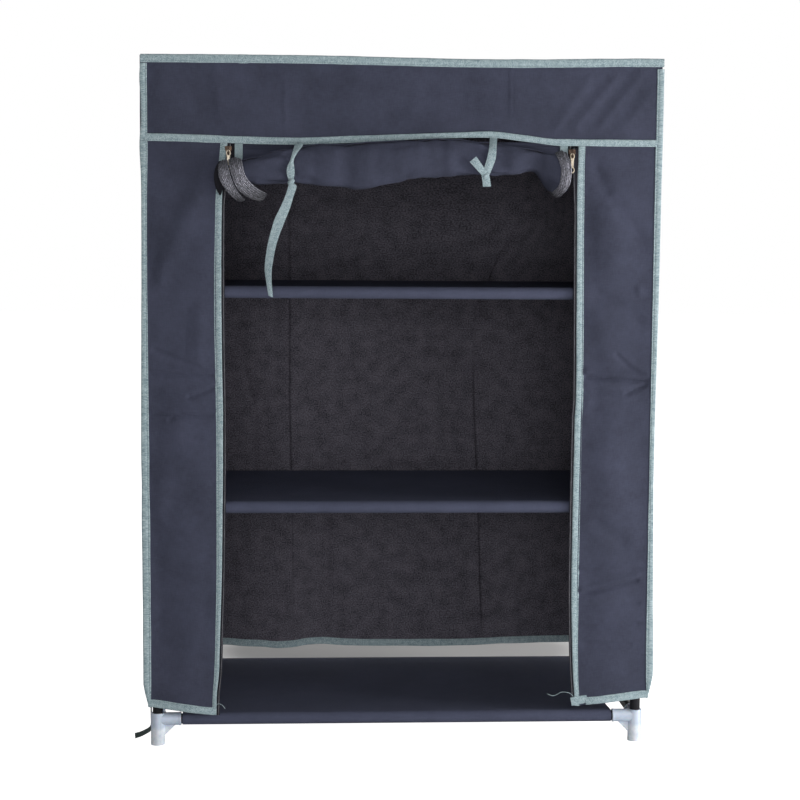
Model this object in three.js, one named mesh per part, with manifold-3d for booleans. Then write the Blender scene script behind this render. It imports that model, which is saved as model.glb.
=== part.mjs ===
// Portable fabric wardrobe: a rack of steel tubes and moulded corner sockets with cloth shelves,
// under a cloth cover whose zipped door is rolled up and tied below the valance.
// Millimetres, +Z up, +X to the viewer's right, and the door faces -Y.
import * as THREE from 'three';
import { mergeVertices } from 'three/addons/utils/BufferGeometryUtils.js';
import Module from 'manifold-3d';

// The steel rack
const frameWidth = 580;
const frameDepth = 300;
const tubeDiameter = 12;
const tubeWall = 0.8;
const bottomLevel = 30.5;
const levelPitch = 250;
const storeys = 3;
const tubeSides = 12;

// The moulded sockets at the corners
const socketClearance = 0.25;
const sleeveWall = 1.9;
const armWall = 1.2;
const armReach = 27;
const sleeveReach = 20;
const topSleeveReach = 22;
const capHeight = 8.3;
const stopThickness = 2;
const postSeatHeight = 20;
const endClearance = 0.3;
const gussetThickness = 3.2;
const gussetReach = 12;
const gussetDrop = 12;
const footChamfer = 1.2;

// The cloth shelves
const shelfCloth = 0.8;
const shelfClearance = 0.3;
const bareRail = 2;
const shelfSag = 5;
const shelfSagSteps = 6;

// The cover
const coverCloth = 1.2;
const coverTopSpare = 9;
const coverHemSpare = 4;
const coverGap = 1.6;
const seamClearance = 0.3;
const outerHemHeight = { left: 48.5, right: 53.5 };
const innerHemHeight = { left: 37.5, right: 44.5 };
const backHemHeight = 50;
const sideFold = 3.5;
const stripFold = 1;
const backFold = 5;
const backHemWave = 4;

// The tape that binds the cover's edges
const tapeWidth = 9.5;
const tapeThickness = 0.5;
const tapeStep = 0.4;
const pipingWidth = 2.6;
const pipingHeight = 9.7;

// The valance and the seam that the door hangs from
const valanceClearance = 0.4;
const valanceHeight = 101.5;
const seamRise = 10;
const seamBulge = 5;

// The zips: the half sewn to each strip, its slider and its pull
const zipSpacing = 398;
const openingShift = -1.6;
const coilWidth = 2.2;
const coilThickness = 2.2;
const zipTapeThickness = 0.8;
const zipTapeShow = 4.5;
const sliderClearance = 0.3;
const sliderPlate = 1;
const sliderLip = 0.7;
const sliderPost = 1.2;
const sliderHeight = 10;
const sliderShoulder = 1.1;
const sliderBelowSeam = 2;
const bailThickness = 1.2;
const bailOpening = 2.2;
const bailHeight = 7.4;
const pullLength = 23;
const pullWidth = 6;
const pullThickness = 1;
const pullRim = 1.2;
const pullEye = 5;
const pullEyeWidth = 2.8;
const pullEndHole = 1.6;

// The door, rolled up
const rollHeight = 53;
const rollThickness = 26;
const rollClearance = 1.5;
const rollTurns = 3;
const rollStepsPerTurn = 12;
const rollPitch = 2.2;
const doorCloth = 1.4;
const rollTopGap = 0.8;
const rollEndGap = 2.5;

// The ties that hold the roll, and the short tie at the hem
const tieWidth = 9;
const tieThickness = 0.8;
const tieClearance = 0.6;
const leftTieInset = 72.5;
const rightTieInset = 86.8;
const tieTwist = 8;
const knotWidth = 13;
const knotHeight = 11;
const knotDepth = 8;
const longTail = 130;
const longTailSwing = 26;
const shortTail = 22;
const hemTieWidth = 6;
const hemTieThickness = 0.8;
const hemTieLength = 51.5;
const hemTieSwing = 18;

// Where things are, worked out from the sizes above
const tubeRadius = tubeDiameter / 2;
const boreRadius = tubeRadius + socketClearance;
const sleeveRadius = boreRadius + sleeveWall;
const armRadius = boreRadius + armWall;
const postX = frameWidth / 2 - sleeveRadius;
const postY = frameDepth / 2 - sleeveRadius;
const levels = Array.from({ length: storeys + 1 }, (_, k) => bottomLevel + k * levelPitch);
const topLevel = levels[storeys];
const coverTopWidth = frameWidth + 2 * coverTopSpare;
const coverHemWidth = frameWidth + 2 * coverHemSpare;
const frontInside = -frameDepth / 2 - coverGap;
const backInside = frameDepth / 2 + coverGap;
const frontFace = frontInside - coverCloth;
const topUnderside = topLevel + capHeight + seamClearance;
const topSurface = topUnderside + coverCloth;
const pipingTop = topSurface + pipingHeight;
const panelTop = topUnderside - seamClearance;
const seamHeight = pipingTop - valanceHeight;
const valanceInside = frontFace - tapeThickness - valanceClearance;
const valanceFace = valanceInside - coverCloth;
const sliderHalfDepth = coilThickness / 2 + sliderClearance + sliderPlate;
const sliderHalfWidth = sliderPost / 2 + coilWidth + 2 * sliderClearance + sliderLip;
const coilOffset = sliderPost / 2 + sliderClearance + coilWidth / 2;
const coilY = frontInside - coverCloth / 2;
const coilX = { left: openingShift - zipSpacing / 2, right: openingShift + zipSpacing / 2 };
const rollLeft = coilX.left + coilOffset + sliderHalfWidth + rollEndGap;
const rollRight = coilX.right - coilOffset - sliderHalfWidth - rollEndGap;
const rollBack = -frameDepth / 2 - rollClearance;
const leftTiePlace = rollLeft + leftTieInset;
const rightTiePlace = rollRight - rightTieInset;
const sliderTop = seamHeight - sliderBelowSeam;

const colours = {
  socket: 0xbec8dc,
  steel: 0x16171b,
  shelf: 0x2b2e3c,
  cover: 0x363a4a,
  tie: 0x6f7f80,
  zip: 0x6b5a3c,
  pull: 0xcfc4a4,
};
const finishes = {
  socket: { roughness: 0.42, metalness: 0 },
  steel: { roughness: 0.38, metalness: 0.2 },
  zip: { roughness: 0.35, metalness: 0.9 },
  pull: { roughness: 0.4, metalness: 0.6 },
};
const clothFinish = { roughness: 0.92, metalness: 0 };

const wasm = await Module();
wasm.setup();

const assembly = new THREE.Group();

function addPiece(parent, name, geometry, kind) {
  const finish = finishes[kind] ?? clothFinish;
  const material = new THREE.MeshStandardMaterial({ color: colours[kind], ...finish });
  const mesh = new THREE.Mesh(geometry, material);
  mesh.name = name;
  parent.add(mesh);
  return mesh;
}

// Joining and cutting: a closed geometry becomes a solid, and a solid a geometry again
function solidOf(geometry) {
  const bare = geometry.clone();
  bare.deleteAttribute('normal');
  bare.deleteAttribute('uv');
  const welded = mergeVertices(bare);
  const vertProperties = new Float32Array(welded.attributes.position.array);
  const triVerts = new Uint32Array(welded.index.array);
  return new wasm.Manifold(new wasm.Mesh({ numProp: 3, vertProperties, triVerts }));
}

function geometryOf(solid) {
  const mesh = solid.getMesh();
  const geometry = new THREE.BufferGeometry();
  geometry.setAttribute('position', new THREE.BufferAttribute(mesh.vertProperties, 3));
  geometry.setIndex(new THREE.BufferAttribute(mesh.triVerts, 1));
  geometry.computeVertexNormals();
  return geometry;
}

// A round bar between two heights along one axis, with a flat of its polygon turned to each side
function bar(radius, from, to, axis, endRadius = radius) {
  const geometry = new THREE.CylinderGeometry(endRadius, radius, to - from, tubeSides);
  geometry.rotateY(Math.PI / tubeSides);
  geometry.translate(0, (from + to) / 2, 0);
  if (axis === 'z') geometry.rotateX(Math.PI / 2);
  if (axis === 'x') geometry.rotateZ(-Math.PI / 2);
  return solidOf(geometry);
}

function extruded(points, thickness) {
  const shape = new THREE.Shape(points.map(([u, v]) => new THREE.Vector2(u, v)));
  const geometry = new THREE.ExtrudeGeometry(shape, { depth: thickness, bevelEnabled: false });
  geometry.translate(0, 0, -thickness / 2);
  return geometry;
}

// A closed body through rings of points that run along one axis; the first two ends are capped
function loft(rings, across) {
  const outline = rings[0].map((p) => new THREE.Vector2(p[across[0]], p[across[1]]));
  const turned = THREE.ShapeUtils.area(outline) < 0;
  const ordered = turned ? rings.map((ring) => [...ring].reverse()) : rings;
  if (turned) outline.reverse();
  const count = outline.length;
  const last = (ordered.length - 1) * count;
  const index = [];
  for (let i = 0; i < last; i += count) {
    for (let j = 0; j < count; j += 1) {
      const next = (j + 1) % count;
      index.push(i + j, i + next, i + count + next);
      index.push(i + j, i + count + next, i + count + j);
    }
  }
  for (const [a, b, c] of THREE.ShapeUtils.triangulateShape(outline, [])) {
    index.push(c, b, a);
    index.push(last + a, last + b, last + c);
  }
  const points = ordered.flat();
  let volume = 0;
  for (let i = 0; i < index.length; i += 3) {
    const [a, b, c] = [points[index[i]], points[index[i + 1]], points[index[i + 2]]];
    volume += a.dot(new THREE.Vector3().crossVectors(b, c));
  }
  const geometry = new THREE.BufferGeometry();
  const places = points.flatMap((point) => point.toArray());
  geometry.setAttribute('position', new THREE.Float32BufferAttribute(places, 3));
  geometry.setIndex(volume < 0 ? index.reverse() : index);
  geometry.computeVertexNormals();
  return geometry;
}

// Reads a table of shares, with a soft step from each value to the next
function softly(placeShares, valueShares, at) {
  const last = placeShares.length - 1;
  let k = 0;
  while (k < last - 1 && at > placeShares[k + 1]) k += 1;
  const span = placeShares[k + 1] - placeShares[k];
  const t = THREE.MathUtils.clamp((at - placeShares[k]) / span, 0, 1);
  const ease = (1 - Math.cos(Math.PI * t)) / 2;
  return valueShares[k] + (valueShares[k + 1] - valueShares[k]) * ease;
}

// A steel tube along one axis, open at both ends
function tube(length, axis) {
  const inside = bar(tubeRadius - tubeWall, -length, length, axis);
  return geometryOf(bar(tubeRadius, -length / 2, length / 2, axis).subtract(inside));
}

// The web under a socket's arm, in the arm's own direction
function gusset() {
  const out = sleeveRadius + gussetReach;
  const web = extruded([
    [boreRadius + socketClearance, -boreRadius],
    [boreRadius + socketClearance, -armRadius - gussetDrop],
    [sleeveRadius, -armRadius - gussetDrop],
    [out, -armRadius],
    [out, -boreRadius - socketClearance],
  ], gussetThickness);
  web.rotateX(Math.PI / 2);
  return web;
}

// One moulded socket. Its arms point along +X and +Y from the post's axis, at the rails' height.
function socket(below, above, boreFrom, boreTo, lowerBoreTop) {
  const web = gusset();
  let body = bar(sleeveRadius, -below, above, 'z');
  for (const axis of ['x', 'y']) {
    body = body.add(bar(armRadius, 0, armReach, axis));
    body = body.add(solidOf(web.clone().rotateZ(axis === 'x' ? 0 : Math.PI / 2)));
  }
  for (const axis of ['x', 'y']) {
    body = body.subtract(bar(boreRadius, sleeveRadius, 2 * armReach, axis));
  }
  body = body.subtract(bar(boreRadius, boreFrom, boreTo, 'z'));
  if (lowerBoreTop !== undefined) body = body.subtract(bar(boreRadius, -2 * below, lowerBoreTop, 'z'));
  return body;
}

function footSocket() {
  const seat = postSeatHeight - bottomLevel;
  const whole = socket(bottomLevel - footChamfer, armRadius, seat, 2 * armReach);
  const tread = bar(sleeveRadius - footChamfer, -bottomLevel, footChamfer - bottomLevel, 'z', sleeveRadius);
  return geometryOf(whole.add(tread));
}

function middleSocket() {
  return geometryOf(socket(sleeveReach, sleeveReach, stopThickness / 2, 2 * sleeveReach, -stopThickness / 2));
}

function topSocket() {
  return geometryOf(socket(topSleeveReach, capHeight, -2 * topSleeveReach, -stopThickness / 2));
}

// Corners are named from the front; a socket turns so that its arms point into the rack
const corners = [
  { name: 'front_left', x: -1, y: -1, turn: 0 },
  { name: 'front_right', x: 1, y: -1, turn: Math.PI / 2 },
  { name: 'back_right', x: 1, y: 1, turn: Math.PI },
  { name: 'back_left', x: -1, y: 1, turn: -Math.PI / 2 },
];
const levelNames = ['bottom', 'lower', 'upper', 'top'];

function addRack() {
  const rack = new THREE.Group();
  const railLength = 2 * (postX - sleeveRadius - endClearance);
  const barLength = 2 * (postY - sleeveRadius - endClearance);
  levels.forEach((height, k) => {
    const level = new THREE.Group();
    level.position.z = height;
    rack.add(level);
    const kind = k === 0 ? 'foot' : k === storeys ? 'top' : `${levelNames[k]}_middle`;
    const build = k === 0 ? footSocket : k === storeys ? topSocket : middleSocket;
    for (const corner of corners) {
      const mesh = addPiece(level, `${kind}_socket_${corner.name}`, build(), 'socket');
      mesh.position.set(corner.x * postX, corner.y * postY, 0);
      mesh.rotation.z = corner.turn;
    }
    for (const [name, y] of [['front', -postY], ['back', postY]]) {
      addPiece(level, `${levelNames[k]}_rail_${name}`, tube(railLength, 'x'), 'steel').position.y = y;
    }
    for (const [name, x] of [['left', -postX], ['right', postX]]) {
      addPiece(level, `${levelNames[k]}_side_bar_${name}`, tube(barLength, 'y'), 'steel').position.x = x;
    }
    addPiece(level, `${levelNames[k]}_shelf_cloth`, shelf(), 'shelf');
  });
  for (let k = 0; k < storeys; k += 1) {
    const stop = stopThickness / 2 + endClearance;
    const from = k === 0 ? postSeatHeight + endClearance : levels[k] + stop;
    const to = levels[k + 1] - stop;
    for (const corner of corners) {
      const name = `${['lower', 'middle', 'upper'][k]}_post_${corner.name}`;
      const mesh = addPiece(rack, name, tube(to - from, 'z'), 'steel');
      mesh.position.set(corner.x * postX, corner.y * postY, (from + to) / 2);
    }
  }
  assembly.add(rack);
}

// Points along a round stretch of an outline; the end is left to what follows
function arc(centre, radius, from, to, steps) {
  return Array.from({ length: steps }, (_, k) => {
    const a = from + (k * (to - from)) / steps;
    return new THREE.Vector2(centre + radius * Math.cos(a), radius * Math.sin(a));
  });
}

// A shelf: one cloth, sewn into a sleeve round the front and the back rail, sagging between them
function shelf() {
  const inside = tubeRadius + shelfClearance;
  const outside = inside + shelfCloth;
  const width = 2 * (postX - armReach - bareRail);
  const join = Math.asin((outside - shelfCloth) / outside);
  const top = Math.PI / 2;
  const turn = 2 * Math.PI;
  const sagging = (share, under) => {
    const y = postY * share;
    return new THREE.Vector2(y, outside - under - shelfSag * (1 - share ** 2));
  };
  const shares = Array.from({ length: shelfSagSteps - 1 }, (_, k) => (2 * (k + 1)) / shelfSagSteps - 1);
  const shape = new THREE.Shape([
    ...shares.map((share) => sagging(share, 0)),
    ...arc(postY, outside, top, Math.PI - join - turn, tubeSides - 1),
    new THREE.Vector2(postY - outside * Math.cos(join), outside * Math.sin(join)),
    ...shares.reverse().map((share) => sagging(share, shelfCloth)),
    ...arc(-postY, outside, join, top - turn, tubeSides - 1),
    new THREE.Vector2(-postY, outside),
  ]);
  const flat = Math.PI / tubeSides;
  for (const y of [-postY, postY]) {
    shape.holes.push(new THREE.Path(arc(y, inside, flat, flat + turn, tubeSides)));
  }
  const geometry = new THREE.ExtrudeGeometry(shape, { depth: width, bevelEnabled: false });
  geometry.translate(0, 0, -width / 2);
  geometry.rotateX(Math.PI / 2);
  geometry.rotateZ(Math.PI / 2);
  return geometry;
}

// A panel of the cover, through sections seen from above. A station holds an outer and an inner
// point, the way out, its hem's height, and how far it follows the taper and the folds.
function panel(stations, rows, moveAt) {
  const rings = rows.map((row) => {
    const place = (station, point, outward) => {
      const z = station.hem + (row.rise ?? row.share * (panelTop - station.hem));
      const move = moveAt(station, (z - station.hem) / (panelTop - station.hem));
      const thick = row.bound ? outward * station.bound : 0;
      return new THREE.Vector3(
        point.x + move.x + thick * station.out.x,
        point.y + move.y + thick * station.out.y,
        z,
      );
    };
    const outer = stations.map((station) => place(station, station.outer, 1));
    const inner = stations.map((station) => place(station, station.inner, -1));
    return [...outer, ...inner.reverse()];
  });
  return loft(rings, ['x', 'y']);
}

const fieldShares = [0.1, 0.22, 0.36, 0.5, 0.64, 0.78, 0.9, 1];
const panelRows = [
  { rise: 0, bound: true },
  { rise: tapeWidth, bound: true },
  { rise: tapeWidth + tapeStep },
  ...fieldShares.map((share) => ({ share })),
];

// A side of the cover with its front strip, one sewn piece from the zip round to the back corner
const sideFoldReachShare = 0.86;
function coverSide(name) {
  const side = name === 'left' ? -1 : 1;
  const coil = coilX[name];
  const edge = (side * coverTopWidth) / 2;
  const taper = (coverTopWidth - coverHemWidth) / 2;
  const stripHemAt = (x) => {
    const share = (x - coil) / (edge - coil);
    return innerHemHeight[name] + (outerHemHeight[name] - innerHemHeight[name]) * share;
  };
  const front = (x, halfDepth, extra = {}) => ({
    outer: new THREE.Vector2(x, coilY - halfDepth),
    inner: new THREE.Vector2(x, coilY + halfDepth),
    out: new THREE.Vector2(0, -1),
    hem: stripHemAt(x),
    bound: 0,
    lean: 0,
    ...extra,
  });
  const outward = (distance) => coil + side * (coilWidth / 2 + distance);
  const bound = coverCloth / 2 + tapeThickness;
  const field = outward(zipTapeShow + tapeWidth + tapeStep);
  const fieldEnd = edge - side * (tapeWidth + tapeStep);
  const stripFoldShares = [0, 0.7, 0.1, 1, 0];
  const stations = [
    front(outward(-coilWidth), coilThickness / 2),
    front(outward(0), coilThickness / 2),
    front(outward(tapeStep), zipTapeThickness / 2),
    front(outward(zipTapeShow), zipTapeThickness / 2),
    front(outward(zipTapeShow + tapeStep), bound),
    front(outward(zipTapeShow + tapeWidth), bound),
    ...stripFoldShares.map((fold, k) => {
      const share = k / (stripFoldShares.length - 1);
      const x = field + (fieldEnd - field) * share;
      return front(x, coverCloth / 2, { bound: tapeThickness, lean: share, stripFold: fold });
    }),
    front(edge - side * tapeWidth, bound, { lean: 1 }),
    {
      outer: new THREE.Vector2(edge, frontFace - tapeThickness),
      inner: new THREE.Vector2(edge - side * coverCloth, frontInside),
      out: new THREE.Vector2(side, 0),
      hem: outerHemHeight[name],
      bound: 0,
      lean: 1,
    },
  ];
  const placeShares = [0.04, 0.18, 0.34, 0.5, 0.66, 0.82, 0.96, 1];
  const sideFoldShares = [0, 0.7, 0.1, 1, 0.25, 0.8, 0, 0];
  placeShares.forEach((share, k) => {
    const y = frontFace + (backInside + coverCloth - frontFace) * share;
    stations.push({
      outer: new THREE.Vector2(edge, y),
      inner: new THREE.Vector2(edge - side * coverCloth, y),
      out: new THREE.Vector2(side, 0),
      hem: outerHemHeight[name],
      bound: tapeThickness,
      lean: 1,
      sideFold: sideFoldShares[k],
    });
  });
  return panel(stations, panelRows, (station, height) => {
    const hang = Math.sin(Math.PI * THREE.MathUtils.clamp(height / sideFoldReachShare, 0, 1));
    const lean = -side * station.lean * taper * (1 - height);
    return new THREE.Vector2(
      lean + side * sideFold * (station.sideFold ?? 0) * hang,
      -stripFold * (station.stripFold ?? 0) * hang,
    );
  });
}

// The back of the cover hangs between the sides in a few soft upright folds
function coverBack() {
  const placeShares = [0, 0.03, 0.12, 0.22, 0.31, 0.35, 0.44, 0.54, 0.64, 0.7, 0.75, 0.86, 0.97, 1];
  const foldShares = [0, 0, 0.35, 0.1, 0.2, 0.85, 0.3, 0.45, 0.2, 1, 0.3, 0.4, 0, 0];
  const hemShares = [0.1, 0.1, 0.6, 0.9, 0.5, 0, 0.4, 1, 0.7, 0.1, 0.5, 0.8, 0.3, 0.3];
  const halfWidth = coverTopWidth / 2 - coverCloth - tapeThickness - seamClearance;
  const taper = (coverTopWidth - coverHemWidth) / 2;
  const stations = placeShares.map((share, k) => {
    const x = halfWidth * (2 * share - 1);
    return {
      outer: new THREE.Vector2(x, backInside + coverCloth),
      inner: new THREE.Vector2(x, backInside),
      out: new THREE.Vector2(0, 1),
      hem: backHemHeight + backHemWave * hemShares[k],
      bound: tapeThickness,
      lean: 1 - 2 * share,
      fold: foldShares[k],
    };
  });
  const topFoldShare = 0.25;
  return panel(stations, panelRows, (station, height) => {
    const open = 1 - (1 - topFoldShare) * height;
    return new THREE.Vector2(station.lean * taper * (1 - height), backFold * station.fold * open);
  });
}

// The seam below the valance, where the door hangs: it lifts and bulges a little along its width
const seamPlaceShares = [0, 0.28, 0.39, 0.525, 0.655, 0.795, 1];
const seamRiseShares = [0.28, 0, 0.28, 0.76, 1, 0.18, 0.18];
const seamBulgeShares = [0, 0.2, 0.2, 0.6, 1, 0.5, 0];
const acrossShare = (x) => x / coverTopWidth + 1 / 2;
const seamAt = (x) => seamHeight + seamRise * softly(seamPlaceShares, seamRiseShares, acrossShare(x));
const bulgeAt = (x) => seamBulge * softly(seamPlaceShares, seamBulgeShares, acrossShare(x));

// The top of the cover and its valance, with the piping that stands up round the top's edge
function coverTop() {
  const frontEdge = valanceFace - tapeThickness;
  const backEdge = backInside + coverCloth + tapeThickness;
  const middle = (seamHeight + pipingTop) / 2;
  const placeShares = [0, 0.14, 0.28, 0.335, 0.39, 0.457, 0.525, 0.59, 0.655, 0.725, 0.795, 0.9, 1];
  const rings = placeShares.map((share) => {
    const x = coverTopWidth * (share - 1 / 2);
    const bottom = seamAt(x);
    const bulge = bulgeAt(x);
    const outline = [
      [valanceInside - bulge, bottom],
      [valanceInside - bulge / 2, middle],
      [valanceInside, topUnderside],
      [backEdge, topUnderside],
      [backEdge, pipingTop],
      [backEdge - pipingWidth, pipingTop],
      [backEdge - pipingWidth, topSurface],
      [frontEdge + pipingWidth, topSurface],
      [frontEdge + pipingWidth, pipingTop],
      [frontEdge, pipingTop],
      [frontEdge, pipingTop - tapeWidth],
      [valanceFace, pipingTop - tapeWidth - tapeStep],
      [valanceFace - bulge / 2, middle],
      [valanceFace - bulge, bottom + tapeWidth + tapeStep],
      [frontEdge - bulge, bottom + tapeWidth],
      [frontEdge - bulge, bottom],
    ];
    return outline.map(([y, z]) => new THREE.Vector3(x, y, z));
  });
  let top = solidOf(loft(rings, ['y', 'z']));
  for (const side of [-1, 1]) {
    const piping = new THREE.BoxGeometry(pipingWidth, backEdge - frontEdge, pipingTop - topUnderside);
    const x = (side * (coverTopWidth - pipingWidth)) / 2;
    piping.translate(x, (frontEdge + backEdge) / 2, (pipingTop + topUnderside) / 2);
    top = top.add(solidOf(piping));
  }
  return geometryOf(top);
}

function addCover() {
  const cover = new THREE.Group();
  addPiece(cover, 'cover_left_side', coverSide('left'), 'cover');
  addPiece(cover, 'cover_right_side', coverSide('right'), 'cover');
  addPiece(cover, 'cover_back', coverBack(), 'cover');
  addPiece(cover, 'cover_top', coverTop(), 'cover');
  assembly.add(cover);
}

// The rolled door's section at one place along its width: half thickness, half height and middle
const rollPlaceShares = [0, 0.06, 0.14, 0.2, 0.28, 0.37, 0.46, 0.55, 0.64, 0.72, 0.78, 0.85, 0.9, 0.95, 1];
const rollBottomShares = [0.89, 0.86, 0.83, 0.83, 0.9, 1, 0.93, 0.84, 0.82, 0.8, 0.8, 0.72, 0.62, 1, 0.97];
const rollTopShares = [0.34, 0.26, 0.05, 0.05, 0.01, 0, 0, 0, 0, 0, 0, 0, 0.02, 0.04, 0.1];
const rollThickShares = [0.96, 1, 0.86, 0.86, 1, 1, 1, 0.98, 0.94, 0.8, 0.8, 0.92, 0.76, 1, 0.94];

function rollSection(x) {
  const share = (x - rollLeft) / (rollRight - rollLeft);
  const seam = seamAt(x) - rollTopGap;
  const top = seam - rollHeight * softly(rollPlaceShares, rollTopShares, share);
  const bottom = seam - rollHeight * softly(rollPlaceShares, rollBottomShares, share);
  const halfThickness = (rollThickness / 2) * softly(rollPlaceShares, rollThickShares, share);
  const halfHeight = (top - bottom) / 2;
  return { halfThickness, halfHeight, y: rollBack - halfThickness, z: (top + bottom) / 2 };
}

// A point round the roll, inside its outer face by the inset; it starts on top and goes down the back
const rollSquareness = 0.8;
function rollPoint(x, angle, inset) {
  const section = rollSection(x);
  const bend = (value) => Math.sign(value) * Math.abs(value) ** rollSquareness;
  return new THREE.Vector3(
    x,
    section.y + (section.halfThickness - inset) * bend(Math.sin(angle)),
    section.z + (section.halfHeight - inset) * bend(Math.cos(angle)),
  );
}

// The door's cloth, rolled up in one unbroken spiral
function doorRoll() {
  const steps = rollTurns * rollStepsPerTurn;
  const rings = rollPlaceShares.map((share) => {
    const x = rollLeft + share * (rollRight - rollLeft);
    const turnAt = (k) => k / rollStepsPerTurn;
    const round = Array.from({ length: steps + 1 }, (_, k) => turnAt(k));
    const outer = round.map((turn) => rollPoint(x, 2 * Math.PI * turn, rollPitch * turn));
    const inner = round.map((turn) => rollPoint(x, 2 * Math.PI * turn, rollPitch * turn + doorCloth));
    return [...outer, ...inner.reverse()];
  });
  return loft(rings, ['y', 'z']);
}

// A flat tape along points. Each point has its own half width, a vector across the tape, and the
// thickness goes to one side, square to that vector and to the way along the tape.
function tapeAlong(points, halves, thickness) {
  const rings = points.map((point, k) => {
    const before = points[Math.max(k - 1, 0)];
    const after = points[Math.min(k + 1, points.length - 1)];
    const normal = new THREE.Vector3().subVectors(after, before).cross(halves[k]).setLength(thickness);
    const near = [point.clone().sub(halves[k]), point.clone().add(halves[k])];
    return [...near, near[1].clone().add(normal), near[0].clone().add(normal)];
  });
  return loft(rings, ['x', 'y']);
}

function tieTape(points) {
  const half = new THREE.Vector3(tieWidth / 2, 0, 0);
  return solidOf(tapeAlong(points, points.map(() => half), tieThickness));
}

const tails = {
  long: {
    dropShares: [0, 0.13, 0.33, 0.53, 0.73, 0.88, 1],
    swayShares: [0, 0.2, 0.58, 0.9, 1, 0.97, 0.9],
    forwardShares: [0, 0.01, 0, -0.01, 0, 0.01, 0.02],
  },
  down: { dropShares: [0, 0.5, 1], swayShares: [0, 0.1, 0.1], forwardShares: [0, 0.05, 0.1] },
  up: { dropShares: [0, -0.4, -0.75], swayShares: [0, 0.45, 0.8], forwardShares: [0, 0.3, 0.35] },
};

function tail(start, shape, length, sway) {
  const points = shape.dropShares.map((drop, k) => new THREE.Vector3(
    start.x - sway * shape.swayShares[k],
    start.y - length * shape.forwardShares[k],
    start.z - length * drop,
  ));
  return tieTape(points);
}

// A tie: sewn to the seam in front and behind, round the roll, and knotted low on its front
function tie(place, tailList) {
  const fromSeam = tapeWidth - tapeStep;
  const front = valanceFace - tapeThickness - bulgeAt(place) - tieClearance;
  const start = new THREE.Vector3(place, front, seamAt(place) + fromSeam);
  const round = Array.from({ length: rollStepsPerTurn - 2 }, (_, k) => {
    const turn = 1 - (k + 1) / rollStepsPerTurn;
    const x = place - tieTwist * Math.min(1, (2 * (k + 1)) / rollStepsPerTurn);
    return rollPoint(x, 2 * Math.PI * turn, -tieClearance);
  });
  const last = round[round.length - 1];
  const end = new THREE.Vector3(last.x, rollBack + tieClearance, seamAt(place) + tieWidth / 2);
  let body = tieTape([start, ...round, end]);
  const knotTurnShare = 0.6;
  const knotInset = -tieClearance - (knotDepth + tieThickness) / 2;
  const knotPoint = rollPoint(place - tieTwist, 2 * Math.PI * knotTurnShare, knotInset);
  const knot = new THREE.SphereGeometry(1, tubeSides, tubeSides / 2);
  knot.scale(knotWidth / 2, knotDepth / 2, knotHeight / 2);
  knot.translate(...knotPoint.toArray());
  body = body.add(solidOf(knot));
  for (const [shape, length, sway] of tailList) body = body.add(tail(knotPoint, shape, length, sway));
  return geometryOf(body);
}

// The short tie that hangs from the side's hem behind the left foot. Its end turns to face the
// front and lies outward, just above the floor.
function hemTie() {
  const dropShares = [0, 0.33, 0.6, 0.78, 0.89, 0.95, 1];
  const outShares = [0, 0, 0, 0.03, 0.22, 0.61, 1];
  const turnShares = [0, 0, 0.15, 0.55, 0.9, 1, 1];
  const inside = -coverHemWidth / 2 + coverCloth + tapeThickness + seamClearance;
  const points = dropShares.map((drop, k) => new THREE.Vector3(
    inside - hemTieSwing * outShares[k],
    -postY + sleeveRadius + hemTieWidth,
    outerHemHeight.left + tapeWidth - hemTieLength * drop,
  ));
  const halves = turnShares.map((share) => {
    const angle = (Math.PI / 2) * share;
    return new THREE.Vector3(0, Math.cos(angle), Math.sin(angle)).setLength(hemTieWidth / 2);
  });
  return tapeAlong(points, halves, hemTieThickness);
}

function addDoor() {
  const door = new THREE.Group();
  addPiece(door, 'door_roll', doorRoll(), 'cover');
  const leftTails = [[tails.long, longTail, longTailSwing]];
  const rightTails = [[tails.down, shortTail, shortTail], [tails.up, shortTail, shortTail]];
  addPiece(door, 'door_tie_left', tie(leftTiePlace, leftTails), 'tie');
  addPiece(door, 'door_tie_right', tie(rightTiePlace, rightTails), 'tie');
  addPiece(door, 'hem_tie_left', hemTie(), 'tie');
  assembly.add(door);
}

// A zip slider: two plates round a post, with lips that hold the coil in, and a bail in front
function slider() {
  const inner = sliderPost / 2;
  const lip = sliderHalfWidth - sliderLip;
  const hollow = coilThickness / 2 + sliderClearance;
  const slot = zipTapeThickness / 2 + sliderClearance;
  const half = [
    [sliderHalfWidth, -sliderHalfDepth],
    [sliderHalfWidth, -slot],
    [lip, -slot],
    [lip, -hollow],
    [inner, -hollow],
    [inner, hollow],
    [lip, hollow],
    [lip, slot],
    [sliderHalfWidth, slot],
    [sliderHalfWidth, sliderHalfDepth],
  ];
  const mirrored = half.map(([x, y]) => [-x, y]).reverse();
  const body = solidOf(extruded([...half, ...mirrored], sliderHeight));
  const w = sliderHalfWidth;
  const h = sliderHeight / 2;
  const shield = extruded([
    [w - sliderShoulder, h], [w, h - sliderShoulder], [w, 0], [w - sliderShoulder, -h],
    [sliderShoulder - w, -h], [-w, 0], [-w, h - sliderShoulder], [sliderShoulder - w, h],
  ], 2 * sliderHeight);
  shield.rotateX(Math.PI / 2);
  const face = sliderHalfDepth - sliderPlate / 2;
  const near = sliderHalfDepth + bailOpening;
  const far = near + bailThickness;
  const b = bailHeight / 2;
  const bail = extruded([
    [face, b], [near, b], [far, b - bailThickness], [far, bailThickness - b], [near, -b], [face, -b],
    [face, bailThickness - b], [near, bailThickness - b],
    [near, b - bailThickness], [face, b - bailThickness],
  ], bailThickness);
  bail.rotateX(Math.PI / 2);
  bail.rotateZ(-Math.PI / 2);
  return geometryOf(body.intersect(solidOf(shield)).add(solidOf(bail)));
}

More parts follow.
